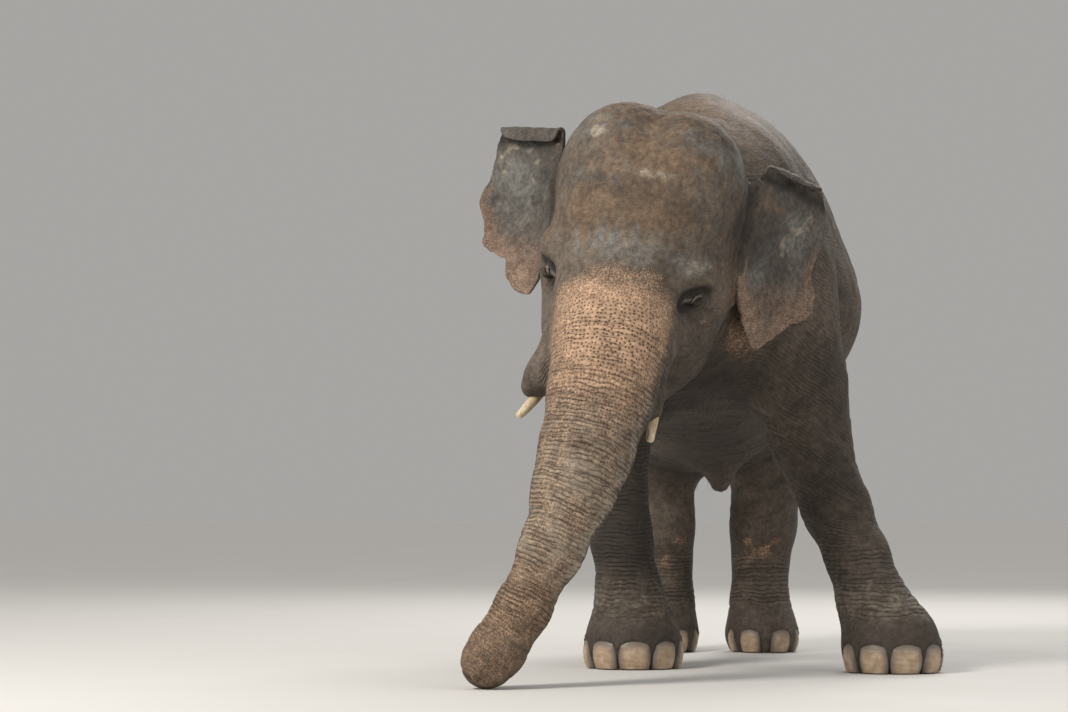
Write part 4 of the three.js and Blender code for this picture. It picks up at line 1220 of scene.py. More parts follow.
def shaped_lids(p, radius):
    """Sinks the socket round each eye, wraps the skin over the eyeball as lids, and opens them.

    Also gives how deep in a fold each point lies, the painted shade of the socket, and the painted highlight on the
    upper lid and the fold over it.
    """
    crease, sockets, lid_highlight = np.zeros(len(p)), np.zeros(len(p)), np.zeros(len(p))
    for side in SIDES:
        centre, (outward, forward, upward) = eye_frame(side)
        q = p - centre
        near = np.linalg.norm(q, axis=1) < EYE_REACH
        q = q[near]

        # the socket, arcs of skin round it, its inner corner, and the fold that hangs over the lid
        ahead, up = q @ forward, q @ upward
        spread = np.hypot((ahead - 0.010) / 0.104, (up - 0.004) / 0.072)
        above = fade(up, -0.015, 0.022)
        sunk = 0.020 * furrow(spread - 0.60, 0.30) * (0.5 + 0.5 * above) + 0.008 * fade(spread, 1.0, 0.3)
        arcs = ring_lines(spread * 6.5 + 0.5 * cloud(p[near], 0.03, 21), 0.6)
        arcs *= fade(spread, 0.60, 0.75) * fade(spread, 1.7, 1.1)
        tear = furrow(ahead - 0.040, 0.014) * furrow(up + 0.004, 0.0065)
        corner = furrow(ahead - 0.052, 0.028) * furrow(up + 0.006, 0.023)
        hood = furrow(up - 0.027 + 5 * (ahead - 0.004) ** 2, 0.0070) * fade(np.abs(ahead - 0.004), 0.062, 0.040)
        q = q - outward * (sunk + 0.0032 * arcs + 0.011 * tear + 0.010 * corner - 0.005 * hood)[:, None]

        # the lids, over a ball a little larger than the eye, with the slit between them
        away = np.linalg.norm(q, axis=1)
        out, ahead, up = q @ outward, q @ forward, q @ upward
        level = np.maximum(out, 0.004)
        along, over = radius * np.arctan2(ahead, level), radius * np.arctan2(up, level)
        half = np.where(over > 0, LID_HALF_UPPER, LID_HALF_LOWER)
        slit = np.sqrt((np.abs(along) / LID_HALF_LENGTH) ** LID_CURVE + (np.abs(over) / half) ** LID_CURVE)
        hug = fade(np.hypot(ahead, up), 0.056, 0.030)
        edge = fade(slit, 0.96, 1.10)
        target = (radius - LID_LIFT) * (1 - edge) + (radius + LID_LIFT) * edge
        target -= np.where(over > 0, *LID_CREASES) * furrow(slit - 2.25, 0.22) - 0.0020 * furrow(slit - 1.7, 0.3)
        moved = q / away[:, None] * target[:, None]
        p[near] = q * (1 - hug[:, None]) + moved * hug[:, None] + centre

        # painted shade in the lid folds, the arcs and the socket, strongest in the crease over the upper lid and at the
        # inner corner, where the skin is also wet and dark; painted highlight on the upper lid and its hood
        lid_folds = 0.9 * furrow(slit - 2.3, 0.28) + 0.9 * fade(slit, 1.22, 1.04)
        crease[near] += lid_folds * hug + 0.7 * arcs + tear
        shade = 0.50 * fade(spread, 1.10, 0.50) + 0.70 * furrow(spread - 0.70, 0.26) * above
        shade += 1.1 * corner + 0.55 * furrow(slit - 1.15, 0.25) * hug
        sockets[near] += np.clip(shade, 0, 1)
        lid_highlight[near] += np.clip(furrow(slit - 1.65, 0.42) * hug * above + 0.9 * hood, 0, 1)
    return p, crease, sockets, lid_highlight


# Patches of tone on the head, in the head's own frame: tone, middle, radii and strength.
FACE_PATCHES = (
    ("ochre", (0.067, -0.074, 0.542), (0.190, 0.120, 0.080), 0.75),
    ("ochre", (-0.172, -0.162, 0.288), (0.100, 0.100, 0.150), 0.75),
    ("ochre", (0.111, -0.176, 0.342), (0.240, 0.120, 0.090), 0.90),
    ("ochre", (0.385, 0.130, 0.166), (0.040, 0.110, 0.110), 0.55),
    ("ochre", (-0.348, -0.020, 0.134), (0.060, 0.080, 0.090), 0.60),
    ("ochre", (0.000, 0.000, 0.440), (0.420, 0.300, 0.350), 0.34),
    ("blue", (-0.265, 0.067, 0.636), (0.180, 0.160, 0.120), 0.85),
    ("blue", (-0.190, -0.110, 0.420), (0.110, 0.080, 0.045), 0.80),
    ("blue", (-0.025, -0.222, 0.190), (0.320, 0.140, 0.090), 0.68),
    ("blue", (0.214, 0.000, 0.615), (0.160, 0.140, 0.110), 0.50),
    ("blue", (0.345, 0.300, 0.530), (0.110, 0.260, 0.130), 0.85),
    ("blue", (0.290, -0.080, 0.141), (0.120, 0.080, 0.050), 0.80),
    ("blue", (0.370, 0.340, -0.100), (0.070, 0.160, 0.160), 0.50),
    ("pale", (-0.210, -0.019, 0.595), (0.040, 0.050, 0.042), 0.90),
    ("pale", (-0.025, -0.222, 0.200), (0.260, 0.110, 0.060), 0.14),
    ("pale", (0.088, -0.116, 0.479), (0.150, 0.060, 0.022), 0.50),
    ("pale", (0.300, -0.067, 0.141), (0.090, 0.070, 0.034), 0.42),
    # the dark patches are painted shade in the hollows of the forehead, at the temples, in the crease before the left
    # ear, on the cheek and behind the jaw
    ("dark", (0.200, -0.115, 0.365), (0.240, 0.090, 0.080), 0.45),
    ("dark", (-0.080, -0.130, 0.400), (0.180, 0.090, 0.060), 0.25),
    ("dark", (0.370, 0.060, 0.340), (0.060, 0.080, 0.220), 0.45),
    ("dark", (-0.370, 0.060, 0.300), (0.060, 0.080, 0.220), 0.35),
    ("dark", (0.330, 0.080, -0.160), (0.110, 0.120, 0.120), 0.35),
    ("dark", (0.392, 0.180, 0.330), (0.030, 0.070, 0.150), 0.80),
    ("dark", (-0.190, -0.110, 0.420), (0.100, 0.060, 0.030), 0.30),
    ("dark", (0.330, 0.300, -0.230), (0.100, 0.160, 0.100), 0.60),
    ("ochre", (0.400, 0.300, 0.020), (0.050, 0.130, 0.100), 0.95),
    ("pink", (0.353, 0.071, -0.081), (0.050, 0.055, 0.034), 0.35),
)


# Share of pale dry skin round each leg's wrist or ankle.
WRIST_DUST = {"foreleg_left": 0.5, "foreleg_right": 0.28, "hindleg_left": 0.10, "hindleg_right": 0.10}


def paint_hide(mesh, p, normals, crease, sockets, lid_highlight):
    """Where each tone of the hide lies, as soft areas on the points, and how its wrinkles run."""
    h = to_head(p)
    x, y, z = p.T
    run, angle = along_trunk(p)
    front = np.cos(angle)
    head_gap = head_field(p)
    trunk = fade(trunk_field(p), 0.06, 0.01) * fade(run, -0.02, 0.10)
    head = fade(head_gap, 0.05, 0.005)
    legs = leg_fields(p)
    ridges = list(ear_ridges(h))
    up, flat_up = h[:, 2], normals[:, 2]

    # face and trunk
    tones = {name: np.zeros(len(p)) for name in ("pink", "ochre", "blue", "dark", "pale")}
    for name, middle, radii, strength in FACE_PATCHES:
        tones[name] += head * strength * blot(h, middle, radii)
    high = fade(up, 0.16, -0.10)
    face_pink = np.maximum.reduce([
        trunk * fade(np.cos(angle - 0.10), -0.15, 0.95) * fade(run, 0.92, 0.20) * high,
        trunk * fade(np.cos(angle - 0.30), -0.4, 0.6) * (0.30 + 0.20 * fade(run, 0.80, 0.35)) * high,
        head * blot(h, (0.06, -0.33, -0.10), (0.25, 0.24, 0.10)),
        head * 0.40 * blot(h, (0.08, -0.28, 0.06), (0.30, 0.24, 0.09)),
    ])
    tip = trunk * fade(run, 1.18, 1.40)
    dry = 0.28 + 0.26 * fade(run, 0.35, 0.65) + 0.26 * fade(run, 0.7, 1.0)
    tones["pale"] += trunk * fade(front, -0.3, 0.6) * dry * (1 - 0.8 * tip)

    # throat, hocks and back
    throat = 0.62 * blot(p, (0.05, -0.38, 1.38), (0.09, 0.16, 0.13))
    shins = blot(p, (0.22, 1.22, 0.52), (0.12, 0.14, 0.13)) + blot(p, (-0.20, 1.22, 0.50), (0.12, 0.14, 0.12))
    shins *= fade(cloud(p, 0.042, 61), -0.30, 0.45)
    tones["pink"] += np.maximum(face_pink, 0.12 * tip) + throat + 0.62 * shins
    tones["ochre"] += 0.8 * throat + shins + 0.85 * tip + 0.25 * face_pink + 0.30 * trunk * fade(run, 0.5, 0.8)
    tones["ochre"] += 0.45 * fade(flat_up, 0.45, 0.95) * fade(z, 1.9, 2.25)
    tones["ochre"] += 0.35 * blot(p, (-0.10, 0.1, 2.36), (0.35, 0.5, 0.12))

    # painted shade in the eye sockets and at the roots of the ears, and a painted highlight on the upper lids
    tones["dark"] += 1.05 * sockets * (1 - 0.85 * lid_highlight)
    tones["blue"] += lid_highlight
    tones["pale"] += 0.45 * lid_highlight
    tones["pink"] *= 1 - np.clip(sockets, 0, 1)
    for gap, back, _ in ridges:
        tones["dark"] += 0.55 * fade(gap, 0.10, 0.02) * fade(h[:, 1], back + 0.01, back - 0.03) * fade(up, 0.05, 0.20)

    # painted shade on the low body, the low chest, the right foreleg and the underside; the hide darker towards the
    # floor; pale dry skin round the wrists and ankles
    shade = 0.14 * fade(z, 1.6, 1.1) + 0.30 * fade(y, 0.05, -0.30) * fade(z, 1.6, 1.2)
    shade += 0.55 * fade(legs["foreleg_right"], 0.06, 0.0) * fade(z, 0.28, 0.48)
    tones["dark"] += (1 - head) * (1 - trunk) * shade
    tones["dark"] += fade(z, 0.24, 0.14) * 0.22 + fade(flat_up, -0.4, -0.95) * fade(z, 0.5, 0.8) * 0.35
    for name, field in legs.items():
        wrist = fade(field, 0.03, 0.005) * fade(z, 0.42, 0.33) * fade(z, 0.19, 0.25)
        tones["pale"] += wrist * WRIST_DUST[name]

    # what the wrinkles lie across: height, or the run down the trunk, or the way out from an ear's root
    on_head = fade(head_gap, 0.16, 0.02)
    lie = z * (1 - on_head) + (HEAD_PLACE[2] + up) * on_head
    lie = lie * (1 - trunk) + (HEAD_PLACE[2] - run - 0.030 * (1 - front)) * trunk
    lie = lie + fade(legs["foreleg_left"], 0.30, 0.00) * fade(z, 0.5, 0.75) * 0.70 * (x - 0.35)
    ear_ridge, temple = np.zeros(len(p)), np.zeros(len(p))
    for gap, back, this_side in ridges:
        ridge = fade(gap, 0.030, 0.008) * this_side
        before = fade(gap, 0.16, 0.08) * fade(h[:, 1], back + 0.02, back - 0.06) * fade(up, -0.10, 0.05)
        before = before * this_side * (1 - ridge)
        lie = lie * (1 - before) + (HEAD_PLACE[2] + gap) * before
        ear_ridge, temple = ear_ridge + ridge, temple + before

    # shares of rings and of wandering folds
    brow = head * (1 - trunk) * fade(up, -0.02, 0.12)
    wrists = sum(fade(field, 0.03, 0.005) * fade(z, 0.55, 0.40) * fade(z, 0.17, 0.25) for field in legs.values())
    forequarter = fade(y, 0.9, 0.3) * (1 - head) * fade(z, 2.3, 1.9) * fade(z, 0.25, 0.5)
    soles = fade(z, 0.24, 0.16)
    rings = 0.22 + 0.48 * forequarter + 0.8 * wrists + trunk * (0.05 + fade(run, 0.16, 0.42))
    rings = np.clip(rings, 0, 1) * (1 - 0.9 * brow) * (1 - soles)
    rings = np.clip(rings + 0.25 * ear_ridge + 0.5 * temple, 0, 1)
    folds = 0.62 - 0.40 * brow - 0.5 * trunk - 0.25 * forequarter - 0.2 * fade(y, 0.8, 1.2)
    folds = np.clip(folds, 0.08, 1) * (1 - 0.7 * soles)

    # tone holds the painted shade, the pale skin with the painted lid highlight, and the painted shade of the creases
    store(mesh, "tint", *(np.clip(tones[name], 0, 1) for name in ("pink", "ochre", "blue")))
    store(mesh, "tone", *(np.clip(values, 0, 1) for values in (tones["dark"], tones["pale"], crease)))
    store(mesh, "fold", lie, rings, folds)
    # the hide laid flat: round and down the trunk on the whole head, level and height elsewhere
    on_face = fade(head_gap, 0.10, 0.02)
    across = x * (1 - on_face) + angle * (0.25 - 0.115 * fade(run, -0.1, 1.3)) * on_face
    down = z * (1 - on_face) + (HEAD_PLACE[2] - run) * on_face
    store(mesh, "lay", across, down, x * 0)


BOX_MARGIN = 0.001


def inside_box(p):
    """Keeps points inside the CAD model's box."""
    low, high = np.array(CAD_BOX[0]) + BOX_MARGIN, np.array(CAD_BOX[1]) - BOX_MARGIN
    low[2] = 0.0
    return np.clip(p, low, high)


# ---------------------------------------------------------------- ears


def closed_curve(points, at):
    """A smooth closed line through the points, read at each share of the way round."""
    points = np.array(points)
    count = len(points)
    place = (at % 1.0) * count
    i = np.floor(place).astype(int)
    t = (place - i)[:, None]
    a, b, c, d = (points[(i + k) % count] for k in (-1, 0, 1, 2))
    return 0.5 * (2 * b + (c - a) * t + (2 * a - 5 * b + 4 * c - d) * t**2 + (3 * b - a - 3 * c + d) * t**3)


def ear_rim_at(side, bearing):
    """Distance from the ear's middle to its rim, in each direction."""
    rim = closed_curve(EAR_RIMS[side], np.linspace(0, 1, 721)[:-1]) - np.array(EAR_MIDDLE)
    angles = np.arctan2(rim[:, 1], rim[:, 0])
    order = np.argsort(angles)
    return np.interp(bearing, angles[order], np.hypot(*rim[order].T), period=2 * math.pi)


# How far out the line of the roll has the height that the ear's seat gives.
ROLL_PIVOT = 0.100
FULL_ROLL = 2.95


def past_roll(side, out, up):
    """How far a point of the flat pattern lies beyond the line where the top rolls over, and along it."""
    fold, slope = EAR_SEATS[side][2], math.radians(EAR_SEATS[side][5])
    beyond = (up - fold) * math.cos(slope) + (out - ROLL_PIVOT) * math.sin(slope)
    level = (out - ROLL_PIVOT) * math.cos(slope) - (up - fold) * math.sin(slope)
    return beyond, level


def ear_place(side, out, up, face):
    """A point of the ear, given on its flat pattern, rolled over at the top and set on the head."""
    (x, y, z), swing, fold, roll, reach, drop = EAR_SEATS[side]
    dish = 0.4 * (out - 0.120) ** 2
    slope = math.radians(drop)
    beyond, level = past_roll(side, out, up)
    rise = reach * np.tanh(np.maximum(beyond, 0) / reach)
    angle = np.minimum(rise / roll, FULL_ROLL)
    flap = rise - angle * roll
    radius = roll - face
    rolled = rise > 0
    beyond = np.where(rolled, radius * np.sin(angle) + flap * np.cos(angle), beyond)
    face = np.where(rolled, roll - radius * np.cos(angle) + flap * np.sin(angle), face) + dish
    face = face + (0.020 if side == "left" else 0.0) * fade(up, 0.02, -0.22)
    out = ROLL_PIVOT + level * math.cos(slope) + beyond * math.sin(slope)
    up = fold - level * math.sin(slope) + beyond * math.cos(slope)
    turn = math.radians(swing)
    reach = abs(x) + math.cos(turn) * out + math.sin(turn) * face
    back = y + math.sin(turn) * out - math.cos(turn) * face
    return from_head(np.stack([SIDES[side] * reach, back, z + up], 1))


# Patches of tone on each ear's flat pattern: tone, middle, radii and strength.
EAR_PATCHES = {
    "left": (
        ("pink", (0.13, -0.32), (0.06, 0.05), 0.42),
        ("ochre", (0.12, -0.32), (0.07, 0.05), 1.0),
        ("ochre", (0.17, 0.19), (0.04, 0.02), 0.7),
        ("ochre", (0.10, 0.22), (0.07, 0.06), 0.5),
        ("blue", (0.09, -0.10), (0.08, 0.08), 0.9),
        ("blue", (0.30, 0.10), (0.12, 0.10), 0.8),
        ("pale", (0.225, 0.045), (0.022, 0.035), 0.9),
        ("dark", (0.17, 0.10), (0.06, 0.04), 0.55),
        ("dark", (0.05, 0.05), (0.05, 0.14), 0.6),
    ),
    "right": (
        ("pink", (0.14, -0.30), (0.10, 0.09), 0.18),
        ("ochre", (0.12, -0.29), (0.09, 0.09), 0.9),
        ("ochre", (0.06, 0.28), (0.06, 0.05), 0.6),
        ("blue", (0.28, 0.06), (0.20, 0.16), 0.9),
    ),
}
EAR_GRID = 140
EAR_SEEDS = {"left": 31, "right": 41}


def paint_ear(mesh, side, out, up, share, is_far):
    """Where each tone of the ear lies on its points, with a painted shadow under the rolled top; the far face is paler
    and less pink.
    """
    flat = np.stack([out, up], 1)
    beyond, _ = past_roll(side, out, up)
    rim, flap = fade(share, 0.60, 1.0), fade(beyond, -0.005, 0.02)
    lumps = cloud(np.stack([out, up, out * 0], 1), 0.045, EAR_SEEDS[side] + 8)
    # dark holds a painted shadow in a line just under each ear's rolled top, weaker on the far face, and on the right
    # ear a random dark mottle too
    if side == "right":
        dust = 0.85 * fade(lumps, 0.15, 0.6) * fade(up, -0.02, 0.12) * blot(flat, (0.28, 0.14), (0.16, 0.12))
        tones = {
            "pink": 0.40 * rim * fade(up, 0.14, 0.00) * fade(out, 0.02, 0.12) + 0.30 * fade(up, 0.02, -0.20),
            "dark": 0.9 * furrow(beyond + 0.030, 0.020) + 0.30 * fade(-lumps, 0.1, 0.6) * fade(up, -0.1, 0.1),
        }
    else:
        dust = 0.5 * fade(lumps, 0.2, 0.6) * blot(flat, (0.30, 0.12), (0.12, 0.12))
        tones = {
            "pink": 0.46 * rim * fade(up, 0.12, -0.02) + 0.34 * fade(up, 0.04, -0.22),
            "dark": 0.9 * furrow(beyond + 0.034, 0.024),
        }
    tones |= {"pale": dust + 0.14 * flap, "ochre": out * 0, "blue": out * 0}
    for name, middle, radii, strength in EAR_PATCHES[side]:
        tones[name] += strength * blot(flat, middle, radii)
    tones = {name: np.clip(tone, 0, 1) for name, tone in tones.items()}
    store(mesh, "tint", tones["pink"] * np.where(is_far, 0.5, 1.0), tones["ochre"], tones["blue"])
    store(mesh, "tone", tones["dark"] * np.where(is_far, 0.2, 1.0), tones["pale"], out * 0)
    store(mesh, "fold", out * 0.8 + up * 0.6, out * 0 + 0.25, out * 0 + 0.5)
    store(mesh, "lay", out, up, out * 0)


def build_ear(side):
    """One ear as a thin sheet of skin with a rolled top, ribs, a wavy lower margin and two faces."""
    shape = bmesh.new()
    bmesh.ops.create_grid(shape, x_segments=EAR_GRID, y_segments=EAR_GRID, size=1.0)
    square = np.array([vert.co[:2] for vert in shape.verts])
    u, v = square.T
    disc = np.stack([u * np.sqrt(1 - v * v / 2), v * np.sqrt(1 - u * u / 2)], 1)
    share = np.minimum(np.hypot(*disc.T), 1)
    bearing = np.arctan2(disc[:, 1], disc[:, 0])
    seed = EAR_SEEDS[side]
    ring = np.stack([np.cos(bearing), np.sin(bearing), bearing * 0], 1)
    ragged = fade(np.sin(bearing - 0.3), 0.5, -0.6)
    margin = 0.005 * cloud(ring, 0.16, seed) * (0.4 + ragged) + 0.004 * cloud(ring, 0.06, seed + 1) * (0.3 + ragged)
    reach = ear_rim_at(side, bearing) - 0.004 + margin * fade(share, 0.5, 1.0)
    out = EAR_MIDDLE[0] + np.cos(bearing) * share * reach
    up = EAR_MIDDLE[1] + np.sin(bearing) * share * reach

    flat = np.stack([out, up, out * 0], 1)
    from_root = np.stack([np.arctan2(up - 0.10, out + 0.12), np.hypot(up - 0.10, out + 0.12) * 0.25, out * 0], 1)
    free = fade(out, 0.02, 0.16)
    waves = 0.010 * cloud(from_root, 0.24, seed + 2) * free
    waves += 0.014 * np.sin(bearing * 5.0 + seed) * fade(share, 0.62, 1.0) * ragged * free
    ribs = (0.0040 * furrow(cloud(from_root, 0.13, seed + 3), 0.22) + 0.0045 * cloud(flat, 0.070, seed + 5)) * free
    fine = 0.0045 * cloud(flat, 0.035, seed + 4) + 0.0022 * cloud(flat, 0.016, seed + 6)
    middle = waves + 0.5 * fine
    thick = (0.0130 - 0.0060 * fade(share, 0.6, 1.0)) + 0.016 * fade(out, 0.07, -0.02)
    near_places = ear_place(side, out, up, middle + thick / 2 + ribs + 0.5 * fine)
    far_places = ear_place(side, out, up, middle - thick / 2)

    made = bmesh.ops.extrude_face_region(shape, geom=shape.faces[:], use_keep_orig=True)["geom"]
    shape.verts.index_update()
    far = {item.index for item in made if isinstance(item, bmesh.types.BMVert)}
    lookup = {tuple(np.round(pair, 5)): k for k, pair in enumerate(square)}
    source = [lookup[tuple(np.round(vert.co[:2], 5))] for vert in shape.verts]
    for vert, k in zip(shape.verts, source):
        vert.co = far_places[k] if vert.index in far else near_places[k]
    face_outwards(shape)
    mesh = bpy.data.meshes.new("ear")
    shape.to_mesh(mesh)
    shape.free()
    is_far = np.array([k in far for k in range(len(source))])
    paint_ear(mesh, side, out[source], up[source], share[source], is_far)
    return mesh


# ---------------------------------------------------------------- settings


def metres(name, description, default, low, high):
    return FloatProperty(name=name, description=description, default=default, min=low, max=high, unit="LENGTH")


def how_many(name, description, default, low, high):
    return IntProperty(name=name, description=description, default=default, min=low, max=high)


def colour(name, description, *default):
    return FloatVectorProperty(
        name=name, description=description, default=default, subtype="COLOR", size=3, min=0.0, max=1.0
    )


class ElephantSizes(bpy.types.PropertyGroup):
    surface_voxel: metres(
        "Surface step", "Edge length of the body's surface before it is refined", 0.0295, 0.015, 0.06
    )
    skin_depth: metres("Skin depth", "How far the hide lies inside the solid body", 0.003, 0.0, 0.02)
    crease_depth: FloatProperty(
        name="Crease depth", description="Depth of the trunk's folds, as a share of the usual depth",
        default=1.0, min=0.0, max=2.0, subtype="FACTOR",
    )
    eye_radius: metres("Eye radius", "Radius of each eyeball", 0.022, 0.01, 0.04)
    tusk_radius: metres("Tusk radius", "Radius of a tusk where it leaves the lip", 0.0235, 0.01, 0.05)
    tusk_shown: metres("Tusk length", "Length of a tusk that shows", 0.125, 0.05, 0.4)
    nail_depth: metres("Nail depth", "How far a nail stands out from the foot", 0.020, 0.005, 0.04)
    tuft_hairs: how_many("Tuft hairs", "Number of bristles at the end of the tail", 420, 50, 1500)
    head_hairs: how_many("Head hairs", "Number of bristles on the head and back", 1300, 0, 5000)
    lashes: how_many("Lashes", "Number of lashes on each upper lid", 46, 0, 150)
    lens: FloatProperty(
        name="Lens", description="Focal length of the camera in millimetres on a sensor 36 mm wide",
        default=102.98, min=20, max=300,
    )


class ElephantColours(bpy.types.PropertyGroup):
    hide: colour("Hide", "Main colour of the hide", 0.100, 0.077, 0.058)
    worn: colour("Worn hide", "Lighter dusty hide", 0.188, 0.149, 0.114)
    # also the painted highlight on the upper lids
    blue_grey: colour("Blue grey", "Clean hide on the domes and brow", 0.190, 0.182, 0.164)
    ochre: colour("Ochre dust", "Earth rubbed into the forehead and back", 0.205, 0.132, 0.080)
    pink: colour("Pink", "Unpigmented hide of the face and trunk", 0.560, 0.362, 0.234)
    ear_pink: colour("Ear pink", "Unpigmented margin of the ears", 0.285, 0.195, 0.142)
    ear: colour("Ear hide", "Main colour of the ears", 0.078, 0.066, 0.055)
    ear_worn: colour("Worn ear hide", "Lighter hide of the ears", 0.158, 0.138, 0.118)
    spot: colour("Spots", "Dark freckles in the pink hide", 0.080, 0.044, 0.026)
    # painted shade: the colour that creases, sockets, hollows and the underside are darkened towards
    dark: colour("Dark", "Depth of the creases and sockets", 0.019, 0.014, 0.011)
    # also the painted highlight on the upper lids
    pale: colour("Pale", "Pale dry skin on the wrists and brow", 0.430, 0.365, 0.280)
    nail: colour("Nail", "Horn of the nails", 0.350, 0.240, 0.150)
    nail_pale: colour("Nail highlight", "Polished horn", 0.500, 0.385, 0.275)
    nail_stain: colour("Nail stain", "Earth in the growth lines", 0.200, 0.130, 0.080)
    nail_rim: colour("Nail rim", "Grey edge of the nails", 0.150, 0.125, 0.105)
    ivory: colour("Ivory", "Tusks", 0.700, 0.600, 0.430)
    ivory_stain: colour("Ivory stain", "Root and grain of the tusks", 0.430, 0.310, 0.170)
    iris: colour("Iris", "Dark of the iris", 0.030, 0.012, 0.005)
    iris_light: colour("Iris light", "Fibres of the iris", 0.110, 0.045, 0.015)
    eye_white: colour("Eye white", "Brown-grey white of the eye", 0.030, 0.020, 0.016)
    hair: colour("Hair", "Bristles", 0.026, 0.020, 0.015)
    hair_light: colour("Hair light", "Sun-bleached bristles", 0.090, 0.065, 0.045)
    floor: colour("Floor", "Studio floor", 0.680, 0.665, 0.640)


# ---------------------------------------------------------------- operators


def rest_on_body(piece, slot, *nodes):
    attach(piece, "root")
    if nodes:
        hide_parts(*nodes)


DAYLIGHT, DAYLIGHT_STRENGTH = (1.0, 0.98, 0.95, 1.0), 0.55
BACKDROP = (0.385, 0.378, 0.366, 1.0)

# Each light's name, place, width, power and colour, and the place that all of them point at.
LIGHTS = (
    ("Key light", (-6.0, -6.0, 7.5), 2.6, 780.0, (1.0, 0.96, 0.90)),
    ("Fill light", (6.0, -6.0, 3.5), 5.0, 60.0, (0.96, 0.98, 1.0)),
    ("Back light", (2.5, 7.5, 6.5), 4.0, 330.0, (1.0, 0.98, 0.95)),
)
LIT_PLACE = (-0.1, -0.2, 1.2)
CAMERA_PLACE, CAMERA_PITCH, SENSOR_WIDTH = (-0.81, -13.0, 0.71), 92.7, 36.0
FLOOR_HALF = 90.0


def lit_world():
    """Even daylight on everything, with a plain grey backdrop where the camera sees past the floor."""
    world = bpy.data.worlds.new("Studio light")
    world.use_nodes = True
    board, nodes = Board(world.node_tree), world.node_tree.nodes
    light = board.feed_each(nodes["Background"], {"Color": DAYLIGHT, "Strength": DAYLIGHT_STRENGTH})
    seen = board.wires(board.put("ShaderNodeLightPath"))["Is Camera Ray"]
    backdrop = board.first("ShaderNodeBackground", None, Color=BACKDROP)
    choice = board.feed_each(board.put("ShaderNodeMixShader"), {0: seen, 1: Wire(board, light.outputs[0]), 2: backdrop})
    board.feed(nodes["World Output"].inputs["Surface"], Wire(board, choice.outputs[0]))
    return world


class ELEPHANT_OT_stage(bpy.types.Operator):
    """Makes the floor, the lights and the camera"""

    bl_idname = "elephant.stage"
    bl_label = "Stage"

    def execute(self, context):
        mesh = bmesh.new()
        bmesh.ops.create_grid(mesh, x_segments=1, y_segments=1, size=FLOOR_HALF)
        floor = add_piece("Studio_floor", mesh, finish_of("Studio floor", context), smooth=False)

        context.scene.world = lit_world()
        for name, place, size, power, tint in LIGHTS:
            light = bpy.data.lights.new(name, "AREA")
            light.shape, light.size, light.energy, light.color = "DISK", size, power, tint
            lamp = bpy.data.objects.new(name, light)
            lamp.location = place
            lamp.rotation_euler = (Vector(LIT_PLACE) - Vector(place)).to_track_quat("-Z", "Y").to_euler()
            context.collection.objects.link(lamp)

        camera = bpy.data.cameras.new("Camera")
        camera.sensor_width, camera.lens = SENSOR_WIDTH, context.scene.elephant_sizes.lens
        camera.clip_start, camera.clip_end = 0.1, 400.0
        eye = bpy.data.objects.new("Camera", camera)
        eye.location = Vector(CAMERA_PLACE) + Vector(SHIFT)
        eye.rotation_euler = (math.radians(CAMERA_PITCH), 0.0, 0.0)
        context.collection.objects.link(eye)
        context.scene.camera = eye
        context.scene.view_settings.view_transform = "Standard"
        return {"FINISHED"}


FLESH_NODES = (
    "torso", "neck", "head", "lower_jaw", "trunk_upper", "trunk_middle", "trunk_lower",
    "foreleg_left", "foreleg_right", "forefoot_left", "forefoot_right",
    "hindleg_left", "hindleg_right", "hindfoot_left", "hindfoot_right", "tail",
)


# Rounds of settling at first, and after each refinement, which starts at this share of the surface step.
FIRST_ROUNDS, REFINEMENTS = 9, ((1, 3), (2, 3), (4, 2), (8, 1))

# Up to where the soles stay flat, and how far a fold may stand out.
SOLE_HEIGHT, HIGHEST_FOLD = 0.003, 0.003


class ELEPHANT_OT_hide(bpy.types.Operator):
    """Builds one continuous skin over the body, head, trunk, legs and tail"""

    bl_idname = "elephant.hide"
    bl_label = "Hide"

    def execute(self, context):
        sizes = context.scene.elephant_sizes
        voxel, depth = sizes.surface_voxel, sizes.skin_depth
        mesh = outer_shell(rough_body(voxel))
        settle(mesh, depth, FIRST_ROUNDS)
        for share, rounds in REFINEMENTS:
            divided(mesh, voxel / share, voxel)
            settle(mesh, depth, rounds, 0.4)
        p, normals = points_of(mesh), normals_of(mesh)
        rise, crease = relief(p, sizes.crease_depth)
        rise = np.where(p[:, 2] > SOLE_HEIGHT, np.minimum(rise, HIGHEST_FOLD) + nail_relief(p), 0)
        p = p + normals * rise[:, None]
        p, lids, sockets, lid_highlight = shaped_lids(p, sizes.eye_radius)
        p[:, 2] = np.maximum(p[:, 2], 0)
        paint_hide(mesh, p, normals, crease + lids, sockets, lid_highlight)
        move_points(mesh, inside_box(p + SHIFT))
        hide = add_piece("Hide", mesh, finish_of("Elephant hide", context))
        rest_on_body(hide, "skin", *FLESH_NODES)
        return {"FINISHED"}


class ELEPHANT_OT_ears(bpy.types.Operator):
    """Builds both ears"""

    bl_idname = "elephant.ears"
    bl_label = "Ears"

    def execute(self, context):
        for side in EAR_SEATS:
            mesh = build_ear(side)
            move_points(mesh, inside_box(points_of(mesh) + SHIFT))
            ear = add_piece(f"Ear_{side}", mesh, finish_of("Elephant ear hide", context))
            rest_on_body(ear, "ear_skin", f"ear_{side}")
        return {"FINISHED"}


# How far the cornea stands proud, as a share of the eye's radius, and the angle from the gaze to its edge.
CORNEA_RISE, CORNEA_ANGLE = 0.055, 0.55


